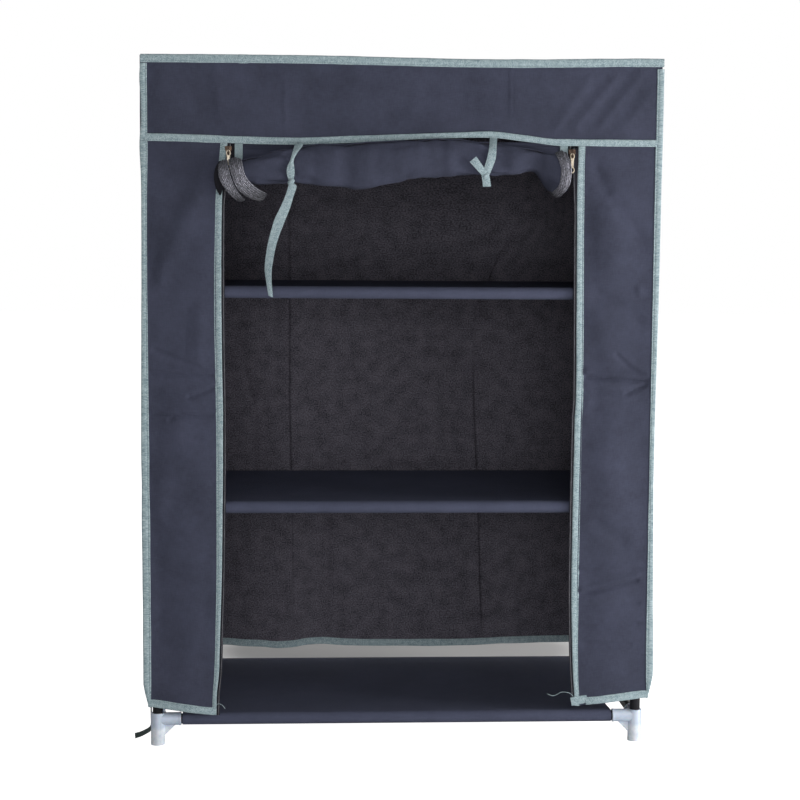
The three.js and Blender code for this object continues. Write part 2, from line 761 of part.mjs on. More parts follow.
// The pull hangs from the bail by the rim above its eye; its origin is on that rim
function pull() {
  const w = pullWidth / 2;
  const top = pullRim / 2;
  const bottom = top - pullLength;
  const shape = new THREE.Shape();
  shape.moveTo(-w, top - pullRim);
  shape.lineTo(pullRim - w, top);
  shape.lineTo(w - pullRim, top);
  shape.lineTo(w, top - pullRim);
  shape.lineTo(w, bottom + w);
  shape.absarc(0, bottom + w, w, 0, -Math.PI, true);
  const eye = new THREE.Path();
  const e = pullEyeWidth / 2;
  eye.moveTo(-e, -top);
  eye.lineTo(-e, -top - pullEye);
  eye.lineTo(e, -top - pullEye);
  eye.lineTo(e, -top);
  const hole = new THREE.Path();
  hole.absarc(0, bottom + w, pullEndHole / 2, 0, 2 * Math.PI, false);
  shape.holes.push(eye, hole);
  const curveSegments = tubeSides / 2;
  const settings = { depth: pullThickness, bevelEnabled: false, curveSegments };
  const geometry = new THREE.ExtrudeGeometry(shape, settings);
  geometry.translate(0, 0, -pullThickness / 2);
  geometry.rotateX(Math.PI / 2);
  return geometry;
}

function addZips() {
  for (const [name, inboard] of [['left', 1], ['right', -1]]) {
    const zip = new THREE.Group();
    zip.position.set(coilX[name] + inboard * coilOffset, coilY, sliderTop - sliderHeight / 2);
    addPiece(zip, `zip_slider_${name}`, slider(), 'zip');
    const hanging = addPiece(zip, `zip_pull_${name}`, pull(), 'pull');
    hanging.position.y = -sliderHalfDepth - bailOpening / 2;
    assembly.add(zip);
  }
}

addRack();
addCover();
addDoor();
addZips();

// The origin is on the floor, below the middle of the whole piece with its roll and its folds
const frontReach = rollBack - rollThickness;
const backReach = backInside + coverCloth + backFold;
assembly.position.y = -(frontReach + backReach) / 2;

export default assembly;
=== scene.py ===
import math

import bpy
from mathutils import Matrix, Vector, noise


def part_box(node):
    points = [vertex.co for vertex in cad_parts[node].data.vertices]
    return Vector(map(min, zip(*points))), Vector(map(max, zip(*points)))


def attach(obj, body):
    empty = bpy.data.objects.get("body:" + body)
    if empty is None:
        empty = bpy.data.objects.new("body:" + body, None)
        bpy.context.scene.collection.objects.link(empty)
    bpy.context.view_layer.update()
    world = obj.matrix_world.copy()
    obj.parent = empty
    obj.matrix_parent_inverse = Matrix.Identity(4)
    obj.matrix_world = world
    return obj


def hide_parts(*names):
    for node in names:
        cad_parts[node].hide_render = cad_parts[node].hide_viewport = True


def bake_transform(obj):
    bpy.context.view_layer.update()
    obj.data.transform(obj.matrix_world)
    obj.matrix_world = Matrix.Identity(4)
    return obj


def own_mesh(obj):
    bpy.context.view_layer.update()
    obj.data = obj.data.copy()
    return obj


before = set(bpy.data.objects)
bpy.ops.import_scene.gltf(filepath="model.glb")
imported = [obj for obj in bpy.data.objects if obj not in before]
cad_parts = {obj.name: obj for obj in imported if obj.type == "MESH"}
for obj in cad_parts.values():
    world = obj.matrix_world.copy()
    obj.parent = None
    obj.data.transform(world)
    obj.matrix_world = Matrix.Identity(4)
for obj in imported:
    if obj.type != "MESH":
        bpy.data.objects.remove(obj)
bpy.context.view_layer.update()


# The studio: a camera at standing distance, a little to the left of the wardrobe and just above
# its middle, and a white floor that runs out of sight and keeps the wardrobe's shadow.
def alone(piece=None):
    """Leaves edit mode, and leaves nothing selected but this piece."""
    if bpy.context.object and bpy.context.object.mode != "OBJECT":
        bpy.ops.object.mode_set(mode="OBJECT")
    bpy.ops.object.select_all(action="DESELECT")
    if piece:
        piece.select_set(True)
        bpy.context.view_layer.objects.active = piece


def linear(red, green, blue):
    """A colour as a paint chart gives it, 0 to 255, in the numbers that a shader takes."""
    shares = [value / 255 for value in (red, green, blue)]
    bent = [s / 12.92 if s <= 0.04045 else ((s + 0.055) / 1.055) ** 2.4 for s in shares]
    return (*bent, 1.0)


def add(tree, kind, inputs=None, **settings):
    """Adds a node, with its settings, and with a value or a link for each input that is named."""
    made = tree.nodes.new("ShaderNode" + kind)
    for key, value in settings.items():
        setattr(made, key, value)
    for key, value in (inputs or {}).items():
        if isinstance(value, bpy.types.NodeSocket):
            tree.links.new(value, made.inputs[key])
        else:
            made.inputs[key].default_value = value
    return made


def out_of(tree, kind, inputs=None, **settings):
    """Adds a node, and gives its first output."""
    return add(tree, kind, inputs, **settings).outputs[0]


def reckon(tree, operation, *numbers, **settings):
    """Adds a sum of one to three numbers, and gives its result."""
    return out_of(tree, "Math", dict(enumerate(numbers)), operation=operation, **settings)


camera_turn = [math.radians(angle) for angle in (84.993, -0.402, -3.395)]
bpy.ops.object.camera_add(location=(-0.13145, -2.32034, 0.59794), rotation=camera_turn)
camera = bpy.context.object
camera.data.lens = 85.12
camera.data.sensor_width = 36
bpy.context.scene.camera = camera
bpy.context.scene.view_settings.view_transform = "Standard"

alone()
bpy.ops.mesh.primitive_plane_add(size=24)
floor = bpy.context.object
floor.name = "studio_floor"
floor_white = bpy.data.materials.new("studio_floor")
floor_white.use_nodes = True
floor_shader = floor_white.node_tree.nodes["Principled BSDF"]
floor_shader.inputs["Base Color"].default_value = (0.93, 0.92, 0.91, 1)
floor_shader.inputs["Roughness"].default_value = 1
floor_shader.inputs["Specular IOR Level"].default_value = 0
floor_tree = floor_white.node_tree
shade_squeeze, shade_centre, shade_inner, shade_outer = (1, 1.8, 1), (0.03, 0.66, 0), 0.22, 0.38
floor_place = add(floor_tree, "TexCoord").outputs["Object"]
oval_place = out_of(floor_tree, "VectorMath", {0: floor_place, 1: shade_squeeze}, operation="MULTIPLY")
from_shade = add(floor_tree, "VectorMath", {0: oval_place, 1: shade_centre}, operation="DISTANCE")
glow = out_of(
    floor_tree, "MapRange",
    {"Value": from_shade.outputs["Value"], "From Min": shade_inner, "From Max": shade_outer},
    interpolation_type="SMOOTHSTEP",
)
seen = add(floor_tree, "LightPath").outputs
seen_glow = reckon(floor_tree, "MULTIPLY", seen["Is Camera Ray"], glow)
floor_shader.inputs["Emission Color"].default_value = (1, 1, 1, 1)
floor_tree.links.new(seen_glow, floor_shader.inputs["Emission Strength"])
floor.data.materials.append(floor_white)


# The corner sockets: sixteen mouldings of pale, slightly clear plastic, four of them the feet. Each
# holds the post in its sleeve and a rail and a side bar in its arms, with a web under each arm.
mm = 0.001
sleeve_radius, arm_radius, bore_radius = 8.15 * mm, 7.45 * mm, 6.25 * mm
arm_reach, sleeve_reach, top_sleeve_reach, cap_height = 27 * mm, 20 * mm, 22 * mm, 8.3 * mm
rim_width, rim_proud, rim_round = 2 * mm, 0.35 * mm, 0.45 * mm
web_reach, web_drop, web_thickness = 12 * mm, 12 * mm, 3.2 * mm
post_seat, stop_half = 20 * mm, 1 * mm
corner_turns = {"front_left": 0, "front_right": 90, "back_right": 180, "back_left": -90}
level_names = ["bottom", "lower", "upper", "top"]
turn_to = {"x": (0, math.pi / 2, 0), "y": (-math.pi / 2, 0, 0), "z": (0, 0, 0)}


def middle(node):
    low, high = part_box(node)
    return (low + high) / 2


posts = {corner: middle("lower_post_" + corner) for corner in corner_turns}
levels = [middle(name + "_rail_front").z for name in level_names]


def rod(radius, start, end, axis="z", rounding=0):
    """A round bar along one axis through the origin, its rims rounded."""
    centre = {"x": (1, 0, 0), "y": (0, 1, 0), "z": (0, 0, 1)}[axis]
    alone()
    bpy.ops.mesh.primitive_cylinder_add(
        vertices=48, radius=radius, depth=end - start,
        location=Vector(centre) * (start + end) / 2, rotation=turn_to[axis],
    )
    made = bpy.context.object
    bpy.ops.object.transform_apply(location=True, rotation=True, scale=True)
    if rounding:
        bpy.ops.object.mode_set(mode="EDIT")
        bpy.ops.mesh.select_mode(type="FACE")
        bpy.ops.mesh.select_all(action="DESELECT")
        bpy.ops.object.mode_set(mode="OBJECT")
        for face in made.data.polygons:
            face.select = len(face.vertices) > 4
        bpy.ops.object.mode_set(mode="EDIT")
        bpy.ops.mesh.bevel(offset=rounding, segments=2)
        bpy.ops.object.mode_set(mode="OBJECT")
    return made


def combine(piece, others, operation):
    """Joins other solids to a piece, or cuts them out of it."""
    for other in others:
        step = piece.modifiers.new("combine", "BOOLEAN")
        step.operation, step.object, step.solver = operation, other, "EXACT"
        alone(piece)
        bpy.ops.object.modifier_apply(modifier=step.name)
        bpy.data.objects.remove(other)


def worked(piece, step, **settings):
    """Runs one edit mode step on the whole of a piece."""
    alone(piece)
    bpy.ops.object.mode_set(mode="EDIT")
    bpy.ops.mesh.select_all(action="SELECT")
    step(**settings)
    bpy.ops.object.mode_set(mode="OBJECT")


def web(turned):
    """The web under an arm: a thin plate with its outer lower corner cut off at a slant."""
    out, drop = sleeve_radius + web_reach, arm_radius + web_drop
    alone()
    bpy.ops.mesh.primitive_cube_add(size=1, location=((out + bore_radius) / 2, 0, -(bore_radius + drop) / 2))
    made = bpy.context.object
    made.scale = (out - bore_radius, web_thickness, drop - bore_radius)
    bpy.ops.object.transform_apply(location=True, rotation=False, scale=True)
    worked(
        made, bpy.ops.mesh.bisect, plane_co=(out, 0, -arm_radius), plane_no=(1, 0, -1), use_fill=True,
        clear_outer=True,
    )
    worked(made, bpy.ops.mesh.bevel, offset=0.3 * mm, segments=1)
    if turned:
        made.data.transform(Matrix.Rotation(math.pi / 2, 4, "Z"))
    return made


def moulding(below, above, bores):
    """One socket round the post's axis, with its arms along +X and +Y at the rails' height."""
    body = rod(sleeve_radius, -below, above, "z", rim_round)
    arms = [rod(arm_radius, 0, arm_reach, axis, rim_round) for axis in "xy"]
    rims = [
        rod(arm_radius + rim_proud, arm_reach - rim_width, arm_reach + rim_proud, axis, rim_proud)
        for axis in "xy"
    ]
    combine(body, [*arms, *rims, web(False), web(True)], "UNION")
    holes = [rod(bore_radius, sleeve_radius, 2 * arm_reach, axis) for axis in "xy"]
    holes += [rod(bore_radius, low, high) for low, high in bores]
    combine(body, holes, "DIFFERENCE")
    bpy.ops.object.shade_smooth_by_angle(angle=math.radians(35))
    return body


def group(name, colours, numbers):
    """A node group that turns a place, two colours and some numbers into a colour, a mask and a height."""
    tree = bpy.data.node_groups.new(name, "ShaderNodeTree")
    kinds = {"Vector": "Vector", **dict.fromkeys(colours, "Color"), **dict.fromkeys(numbers, "Float")}
    for label, kind in kinds.items():
        tree.interface.new_socket(label, in_out="INPUT", socket_type="NodeSocket" + kind)
    for label, kind in {"Colour": "Color", "Mask": "Float", "Height": "Float"}.items():
        tree.interface.new_socket(label, in_out="OUTPUT", socket_type="NodeSocket" + kind)
    return tree, tree.nodes.new("NodeGroupInput").outputs, tree.nodes.new("NodeGroupOutput")


def mixed(tree, share, one, other):
    return add(tree, "Mix", {0: share, 6: one, 7: other}, data_type="RGBA").outputs[2]


def give(tree, result, mask, height, low, high):
    """Ends a group: two colours mixed by the mask, the mask itself, and the height."""
    for label, source in (("Colour", mixed(tree, mask, low, high)), ("Mask", mask), ("Height", height)):
        tree.links.new(source, result.inputs[label])


# Specks and clouds: the uneven look of moulded plastic, felted cloth, paint and old brass
mottled, given, result = group(
    "mottled", ["Colour", "Speck Colour"], ["Specks", "Clouds", "Cloud Share", "Contrast"],
)
specks = out_of(mottled, "TexNoise", {"Vector": given["Vector"], "Scale": given["Specks"], "Detail": 3})
clouds = out_of(mottled, "TexNoise", {"Vector": given["Vector"], "Scale": given["Clouds"], "Detail": 2})
speck_part, cloud_part = [reckon(mottled, "SUBTRACT", field, 0.5) for field in (specks, clouds)]
cloud_weight = reckon(mottled, "MULTIPLY", cloud_part, given["Cloud Share"])
centred = reckon(mottled, "ADD", speck_part, cloud_weight)
strong = reckon(mottled, "MULTIPLY", centred, given["Contrast"])
mask = reckon(mottled, "ADD", strong, 0.5, use_clamp=True)
give(mottled, result, mask, specks, given["Colour"], given["Speck Colour"])


def finish(name, pattern, values, bump, gloss, coordinates="Object", **shader_values):
    """A material: a pattern's colours and height on a shader with its own gloss."""
    made = bpy.data.materials.new(name)
    made.use_nodes = True
    tree = made.node_tree
    shader = tree.nodes["Principled BSDF"]
    look = tree.nodes.new("ShaderNodeGroup")
    look.node_tree = pattern
    tree.links.new(add(tree, "TexCoord").outputs[coordinates], look.inputs["Vector"])
    for label, value in values.items():
        look.inputs[label].default_value = value
    relief = out_of(tree, "Bump", {"Height": look.outputs["Height"], "Distance": bump})
    rough = out_of(
        tree, "MapRange", {"Value": look.outputs["Mask"], "To Min": gloss[0], "To Max": gloss[1]},
    )
    for source, label in ((look.outputs["Colour"], "Base Color"), (relief, "Normal"), (rough, "Roughness")):
        tree.links.new(source, shader.inputs[label])
    for label, value in shader_values.items():
        shader.inputs[label.replace("_", " ")].default_value = value
    return made


def mottled_finish(
    name, colour, speck, specks, clouds, contrast, bump, gloss, share=1, coordinates="Object",
    **shader_values,
):
    """Specks of one colour on another; specks and clouds are so many to the metre."""
    values = {
        "Colour": linear(*colour), "Speck Colour": linear(*speck), "Specks": specks, "Clouds": clouds,
        "Cloud Share": share, "Contrast": contrast,
    }
    return finish(name, mottled, values, bump, gloss, coordinates, **shader_values)


def fasten(piece, body, node=None):
    """A piece moves with its body, and may stand for a solid of the frame, which it hides."""
    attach(piece, body)
    if node:
        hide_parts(node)
    return piece


clear_plastic = mottled_finish(
    "socket_plastic", (200, 209, 219), (228, 233, 239), specks=260, clouds=45, contrast=1.6, bump=0.0002,
    gloss=(0.34, 0.5), Subsurface_Weight=0.12, Subsurface_Scale=0.004,
)
# Where a dark tube stands inside, the clear plastic looks bluer and darker
plastic_tree = clear_plastic.node_tree
plastic_look = next(n for n in plastic_tree.nodes if n.type == "GROUP")
plastic_place = plastic_tree.nodes["Texture Coordinate"].outputs["Object"]
height = add(plastic_tree, "SeparateXYZ", {0: plastic_place}).outputs[2]
filled = out_of(
    plastic_tree, "MapRange",
    {"Value": height, "From Min": post_seat - 2 * mm, "From Max": post_seat + 2 * mm, "To Max": 0.55},
)
filled_shade = mixed(plastic_tree, filled, plastic_look.outputs["Colour"], linear(164, 180, 203))
plastic_tree.links.new(filled_shade, plastic_tree.nodes["Principled BSDF"].inputs["Base Color"])

sockets = {
    "foot": moulding(levels[0], arm_radius, [(post_seat - levels[0], 2 * arm_reach)]),
    "middle": moulding(
        sleeve_reach, sleeve_reach, [(stop_half, 2 * sleeve_reach), (-2 * sleeve_reach, -stop_half)],
    ),
    "top": moulding(top_sleeve_reach, cap_height, [(-2 * top_sleeve_reach, -stop_half)]),
}
for level, level_name in enumerate(level_names):
    kind = {0: "foot", 3: "top"}.get(level, "middle")
    node_kind = kind if kind != "middle" else level_name + "_middle"
    for corner, turn in corner_turns.items():
        node = f"{node_kind}_socket_{corner}"
        socket = sockets[kind].copy()
        socket.data = sockets[kind].data.copy()
        socket.name = node + "_moulding"
        bpy.context.scene.collection.objects.link(socket)
        here = Matrix.Translation((posts[corner].x, posts[corner].y, levels[level]))
        socket.data.transform(here @ Matrix.Rotation(math.radians(turn), 4, "Z"))
        socket.data.materials.clear()
        socket.data.materials.append(clear_plastic)
        fasten(socket, "rack", node)
for pattern in sockets.values():
    bpy.data.objects.remove(pattern)


# The steel tubes: thin-walled and painted black, twelve posts, eight rails and eight side bars. They
# are pushed into the sockets, so that only short ends show beside the cloth.
tube_radius, tube_wall = 6 * mm, 0.8 * mm
black_paint = mottled_finish(
    "steel_tube", (20, 20, 23), (34, 34, 38), specks=900, clouds=30, contrast=1.4, bump=0.0001,
    gloss=(0.28, 0.42), Specular_IOR_Level=0.14,
)
tube_nodes = {}
for level_name in level_names:
    tube_nodes.update({f"{level_name}_rail_{side}": "x" for side in ("front", "back")})
    tube_nodes.update({f"{level_name}_side_bar_{side}": "y" for side in ("left", "right")})
for storey in ("lower", "middle", "upper"):
    tube_nodes.update({f"{storey}_post_{corner}": "z" for corner in corner_turns})
for node, axis in tube_nodes.items():
    low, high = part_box(node)
    length = max(high - low)
    alone()
    bpy.ops.mesh.primitive_cylinder_add(
        vertices=40, radius=tube_radius, depth=length, end_fill_type="NOTHING",
        location=(low + high) / 2, rotation=turn_to[axis],
    )
    pipe = bpy.context.object
    pipe.name = node + "_tube"
    wall = pipe.modifiers.new("wall", "SOLIDIFY")
    wall.thickness, wall.offset = tube_wall, -1
    bpy.ops.object.modifier_apply(modifier=wall.name)
    bpy.ops.object.transform_apply(location=True, rotation=True, scale=True)
    bpy.ops.object.shade_smooth_by_angle(angle=math.radians(35))
    pipe.data.materials.append(black_paint)
    fasten(pipe, "rack", node)


# The shelves: four cloths of navy polyester. The front and the back edge of each is turned round a
# rail and sewn down as a sleeve, the side edges are hemmed, and the cloth sags a little between.
rack_forward = middle("bottom_shelf_cloth").y / mm


def at(x, y, z):
    """A point of the rack in metres, from millimetres measured from the middle of its rails."""
    return Vector((x, y + rack_forward, z)) * mm


def spaced(count, low=0.0, high=1.0):
    """Even steps from low to high, both of them among the steps."""
    return [low + (high - low) * k / count for k in range(count + 1)]


def mesh_piece(name, points, faces, *materials):
    """A new piece from its points and faces."""
    mesh = bpy.data.meshes.new(name)
    mesh.from_pydata(points, [], faces)
    for material in materials:
        mesh.materials.append(material)
    piece = bpy.data.objects.new(name, mesh)
    bpy.context.scene.collection.objects.link(piece)
    return piece


def lengths(points):
    """How far along a line each of its points lies."""
    reached = [0.0]
    for p, q in zip(points, points[1:]):
        reached.append(reached[-1] + (q - p).length)
    return reached


def unroll(piece, across, along):
    """A UV map in metres for a piece that is made of rows of points."""
    uv = piece.data.uv_layers.new(name="UVMap")
    for loop in piece.data.loops:
        row, column = divmod(loop.vertex_index, len(across))
        uv.data[loop.index].uv = (across[column], along[row])


def sheet_of(name, rows, thickness, outside, inside=None):
    """A cloth through rows of points of its outer face."""
    wide, high = len(rows[0]), len(rows)
    faces = [
        (r * wide + c, r * wide + c + 1, (r + 1) * wide + c + 1, (r + 1) * wide + c)
        for r in range(high - 1) for c in range(wide - 1)
    ]
    materials = [outside, inside] if inside else [outside]
    piece = mesh_piece(name, [point for row in rows for point in row], faces, *materials)
    unroll(piece, lengths(rows[high // 2]), lengths([row[wide // 2] for row in rows]))
    solid = piece.modifiers.new("cloth", "SOLIDIFY")
    solid.thickness, solid.offset = thickness, -1
    solid.material_offset = 1 if inside else 0
    alone(piece)
    bpy.ops.object.modifier_apply(modifier=solid.name)
    bpy.ops.object.shade_smooth_by_angle(angle=math.radians(50))
    return piece


def ripple(x, y, size, seed=0.0):
    """Soft random relief from about -1 to 1, as wide as size."""
    return 2 * noise.noise(Vector((x / size, y / size, seed)))


# Threads, slubs, and broad patches that are partly uneven tone and partly painted shade of soft folds:
# the look of every woven cloth and tape here
woven, given, result = group("woven", ["Colour", "Slub Colour"], ["Threads", "Slubs", "Contrast"])
turns = reckon(woven, "MULTIPLY", given["Threads"], 2 * math.pi)
fine = out_of(woven, "VectorMath", {0: given["Vector"], "Scale": turns}, operation="SCALE")
parts = add(woven, "SeparateXYZ", {0: fine}).outputs
warp, weft = reckon(woven, "SINE", parts[0]), reckon(woven, "SINE", parts[1])
slubs = []
for stretch in ((1, 0.14, 1), (0.14, 1, 1)):
    long = out_of(woven, "VectorMath", {0: given["Vector"], 1: stretch}, operation="MULTIPLY")
    slubs.append(out_of(woven, "TexNoise", {"Vector": long, "Scale": given["Slubs"], "Detail": 2}))
slub = reckon(woven, "ADD", *slubs)
# Broad patches about 100 mm across: partly uneven tone, and partly painted shade that stands in for the
# shading of soft folds
tone_and_fold_shade = out_of(
    woven, "TexNoise", {"Vector": given["Vector"], "Scale": 10.0, "Detail": 6, "Roughness": 0.7},
)
fold_shade_weight, slub_weight, balance = 1.8, 0.5, 1.4
slub_part = reckon(woven, "MULTIPLY", slub, slub_weight)
total = reckon(woven, "MULTIPLY_ADD", tone_and_fold_shade, fold_shade_weight, slub_part)
strong = reckon(woven, "MULTIPLY", reckon(woven, "SUBTRACT", total, balance), given["Contrast"])
mask = reckon(woven, "ADD", strong, 0.5, use_clamp=True)
height = reckon(woven, "ADD", reckon(woven, "MULTIPLY", warp, weft), slub)
give(woven, result, mask, height, given["Colour"], given["Slub Colour"])


def woven_finish(name, colour, slub, threads, slubs, contrast, bump, gloss, **shader_values):
    """A woven cloth or tape; threads and slubs are so many to the metre."""
    values = {
        "Colour": linear(*colour), "Slub Colour": linear(*slub), "Threads": threads, "Slubs": slubs,
        "Contrast": contrast,
    }
    return finish(name, woven, values, bump, gloss, "UV", **shader_values)


shelf_cloth = woven_finish(
    "shelf_cloth", (64, 68, 86), (84, 88, 109), threads=1300, slubs=900, contrast=0.9, bump=0.00012,
    gloss=(0.8, 0.95), Specular_IOR_Level=0.2,
)
shelf_half, rail_y, sleeve_round = 252.85, 141.85, 7.1
shelf_sag, shelf_under, shelf_tail, shelf_thick = 5.0, 1.0, 16.0, 0.8
shelf_columns, seam_inset = 72, 3
all_stitches = {"shelf": [], "tape": []}


def shelf_height(y, x, level):
    """How high the top of a shelf's cloth lies above its rails' middle."""
    sag = shelf_sag * (1 - (y / rail_y) ** 2)
    return sleeve_round - sag + 0.5 * (sag / shelf_sag) * ripple(x, y, 70, level)


around = [math.radians(angle) for angle in range(20, -271, -15)]
front = [(-rail_y + sleeve_round * math.cos(a), sleeve_round * math.sin(a)) for a in around]
back = [(-y, z) for y, z in reversed(front)]
flat_steps = spaced(30, -rail_y, rail_y)[1:-1]
tail_y = -rail_y + shelf_tail
for level, level_name in enumerate(level_names):
    rows = []
    for x in spaced(shelf_columns, -shelf_half, shelf_half):
        under = [
            (y, shelf_height(y, x, level) - shelf_under - shelf_thick)
            for y in (tail_y, tail_y - 3, -rail_y + sleeve_round + 2)
        ]
        back_under = [(-y, z) for y, z in reversed(under)]
        top = [(y, shelf_height(y, x, level)) for y in flat_steps]
        profile = under + front + top + back + back_under
        rows.append([at(x, y, z + levels[level] / mm) for y, z in reversed(profile)])
    shelf = sheet_of(level_name + "_shelf", rows, shelf_thick * mm, shelf_cloth)
    fasten(shelf, "rack", level_name + "_shelf_cloth")
    for side in (-1, 1):
        y = side * (rail_y - sleeve_round - seam_inset)
        row = [
            at(x, y, levels[level] / mm + shelf_height(y, x, level))
            for x in [-shelf_half + 3 * k for k in range(1, 168)]
        ]
        all_stitches["shelf"].append((row, Vector((0, 0, 1))))


# The cover: one bag of navy polyester over the rack, felted inside. Two sides with their front
# strips, a back and a top are sewn together, and every seam and edge is bound with grey-green tape.
cover_cloth, cover_top, back_inside = 1.2, 788.8, 151.6
front_face, back_half = -152.8, 297.1
sides = {"left": -1, "right": 1}
outer_cloth = woven_finish(
    "cover_cloth", (48, 51, 65), (75, 78, 97), threads=1100, slubs=900, contrast=1.0, bump=0.00012,
    gloss=(0.78, 0.95), Specular_IOR_Level=0.2,
)
lining = mottled_finish(
    "cover_lining", (53, 51, 58), (109, 106, 116), specks=620, clouds=60, contrast=2.9, bump=0.00018,
    gloss=(0.9, 1.0), share=0.3, coordinates="UV", Specular_IOR_Level=0.1,
)


def between(table, value):
    """Reads a table of place and amount along a smooth line that never overshoots its rows."""
    if value <= table[0][0]:
        return table[0][1]
    if value >= table[-1][0]:
        return table[-1][1]
    k = next(k for k in range(len(table) - 1) if value <= table[k + 1][0])
    slopes = [(q[1] - p[1]) / (q[0] - p[0]) for p, q in zip(table, table[1:])]

    def lean(j):
        if j == 0 or j == len(slopes):
            return slopes[min(j, len(slopes) - 1)]
        before, after = slopes[j - 1], slopes[j]
        return 2 * before * after / (before + after) if before * after > 0 else 0

    step = table[k + 1][0] - table[k][0]
    t = (value - table[k][0]) / step
    return (
        table[k][1] * (1 + 2 * t) * (1 - t) ** 2 + lean(k) * step * t * (1 - t) ** 2
        + table[k + 1][1] * t ** 2 * (3 - 2 * t) + lean(k + 1) * step * t ** 2 * (t - 1)
    )


# Where the outline of the cover and the inner edge of each strip run, from the hem to the top
outline_x = {
    "left": [(37, -289.5), (47, -291.3), (62, -294.9), (76, -297.3), (127, -297.5), (346, -298.5),
             (578, -297.2), (635, -297.1), (668, -297.5), (698, -298.6), (725, -297), (747, -297.1),
             (772, -298.5), (797, -296.8)],
    "right": [(44, 293), (54, 294.4), (69, 298), (85, 300.4), (123, 300), (171, 298.8), (349, 296.9),
              (466, 298.1), (536, 299), (797, 300.2)],
}
corner_inner_x = {
    "left": [(47, -289.2), (90, -288.7), (127, -288.7), (595, -291.2), (635, -291), (691, -290.2),
             (790, -290.4)],
    "right": [(57, 293.4), (85, 292.4), (123, 291.8), (500, 292), (797, 292.4)],
}
strip_edge_x = {
    "left": [(37, -213), (57, -212.8), (88, -210), (126, -208.9), (220, -206.4), (372, -205.1),
             (521, -206.8), (629, -206.3), (700, -199.5)],
    "right": [(44, 208), (58, 207.3), (86, 205.3), (124, 203.6), (195, 202), (384, 202.9), (407, 204.1),
              (508, 203.3), (657, 202), (700, 202.6)],
}
strip_outer_x = {
    "left": [(37, -218), (57, -217.6), (88, -215.6), (126, -214.4), (220, -212.9), (372, -213.2),
             (521, -215.5), (629, -213.6), (700, -208)],
    "right": [(44, 213.8), (58, 213.3), (86, 211.7), (124, 211), (195, 211), (407, 212.8), (508, 211.9),
              (657, 210.5), (700, 211)],
}
strip_hem = {"left": ((-291.3, 47.2), (-213, 37.4)), "right": ((294.3, 53.6), (203.6, 44.9))}
tape_width, tape_thick = 9.2, 0.9
strip_rows, strip_columns, side_columns = 320, 40, 40
loose_to, strip_bulge, edge_held, crease_held = 0.86, 3.0, 0.08, 0.07


def limited(share):
    return min(max(share, 0), 1)


def eased(share):
    """A slow start and a slow end between 0 and 1."""
    return share * share * (3 - 2 * share)


def arch(share):
    """Nothing at both ends of a span, and 1 in its middle."""
    return math.sin(math.pi * share)


def bell(away):
    """1 along the middle of a fold, and next to nothing at twice its width."""
    return math.exp(-away * away)


def hem_height(name, x):
    """How high a front strip's hem lies at a place across the strip."""
    (outer_x, outer_z), (inner_x, inner_z) = strip_hem[name]
    return inner_z + (outer_z - inner_z) * limited((x - inner_x) / (outer_x - inner_x))


def hang(height):
    """How freely cloth moves at a share of its height: held at the top, loose below."""
    return arch(limited(height / loose_to))


# Each fold and crease runs from one place to another, and is so wide and stands out so far
soft_folds = {
    "left": [(-234, 641, -276, 550, 13, 3.0), (-231, 500, -236, 455, 16, 2.2),
             (-288, 250, -288, 135, 14, -3.0), (-262, 288, -235, 284, 11, -1.8),
             (-262, 520, -255, 330, 20, 1.4), (-240, 160, -246, 90, 13, 1.4)],
    "right": [(214, 686, 236, 650, 9, -3.6), (236, 650, 283, 586, 9, -2.0), (238, 612, 245, 570, 20, 2.8),
              (276.7, 536, 278, 533, 5, 2.2), (216, 531, 283, 500, 10, -2.6),
              (225, 500, 240, 460, 16, 2.0), (225, 405, 262, 398, 8, -1.6), (240, 350, 246, 290, 22, 2.4),
              (232, 262, 262, 240, 9, -2.2)],
}
box_folds = {
    "left": [(-291, 437, -212, 435.4, 2.6, -2.4), (-291, 441, -212, 439.4, 3.4, 1.2),
             (-283, 463, -240, 446, 2.8, -1.9), (-240, 446, -212, 432, 2.8, -2.0),
             (-244, 409.5, -210, 423, 2.6, -2.3), (-240, 415, -210, 428, 3.4, 1.2),
             (-291, 389.5, -210, 389.3, 2.6, -2.3), (-291, 393.5, -210, 393.3, 3.4, 1.2),
             (-266, 383.5, -253, 393, 2.4, -1.5), (-270, 413, -228, 401, 7, 1.3)],
    "right": [(206, 435, 250, 432.4, 2.8, -4.2), (250, 432.4, 294, 428.5, 2.4, -3.4),
              (206, 440.5, 292, 434.5, 4.4, 2.6), (251, 460, 269, 443, 2.5, -2.7),
              (269, 443, 293, 429.5, 2.4, -3.0), (262, 414, 293, 428.5, 2.4, -2.6),
              (208, 420, 255, 415, 2.4, -1.5), (209, 177, 279, 194.4, 2.6, -3.0),
              (209, 182.5, 279, 200, 3.4, 2.0), (209, 205, 281, 207.5, 3.0, -1.8),
              (209, 209.5, 281, 212, 3.4, 1.4), (214, 160, 281, 168, 2.8, -2.0),
              (214, 138, 281, 143, 2.8, -1.7), (214, 142.5, 281, 147.5, 3.4, 1.1),
              (214, 120, 272, 118, 3, -1.5)],
}


def pressed(folds, x, z):
    """How far a cloth with these folds stands out at a place: its strongest ridge and groove there."""
    ridge = groove = 0.0
    for x0, z0, x1, z1, wide, out in folds:
        run, rise = x1 - x0, z1 - z0
        t = limited(((x - x0) * run + (z - z0) * rise) / (run * run + rise * rise))
        away = math.hypot(x - x0 - t * run, z - z0 - t * rise) / wide
        if away < 3:
            here = out * bell(away)
            ridge, groove = max(ridge, here), min(groove, here)
    return ridge + groove


def strip_relief(name, x, z):
    """Soft pulls and folds in a front strip, in millimetres towards the viewer."""
    seed = 3.0 if name == "left" else 9.0
    free = 1.5 * ripple(x, z / 4, 46, seed) + 0.5 * ripple(x, z, 34, seed + 1)
    free += 0.16 * ripple(x, z, 11, seed + 2)
    under_seam = limited((703 - z) / 18)
    return free * hang(z / cover_top) + pressed(soft_folds[name], x, z) * under_seam


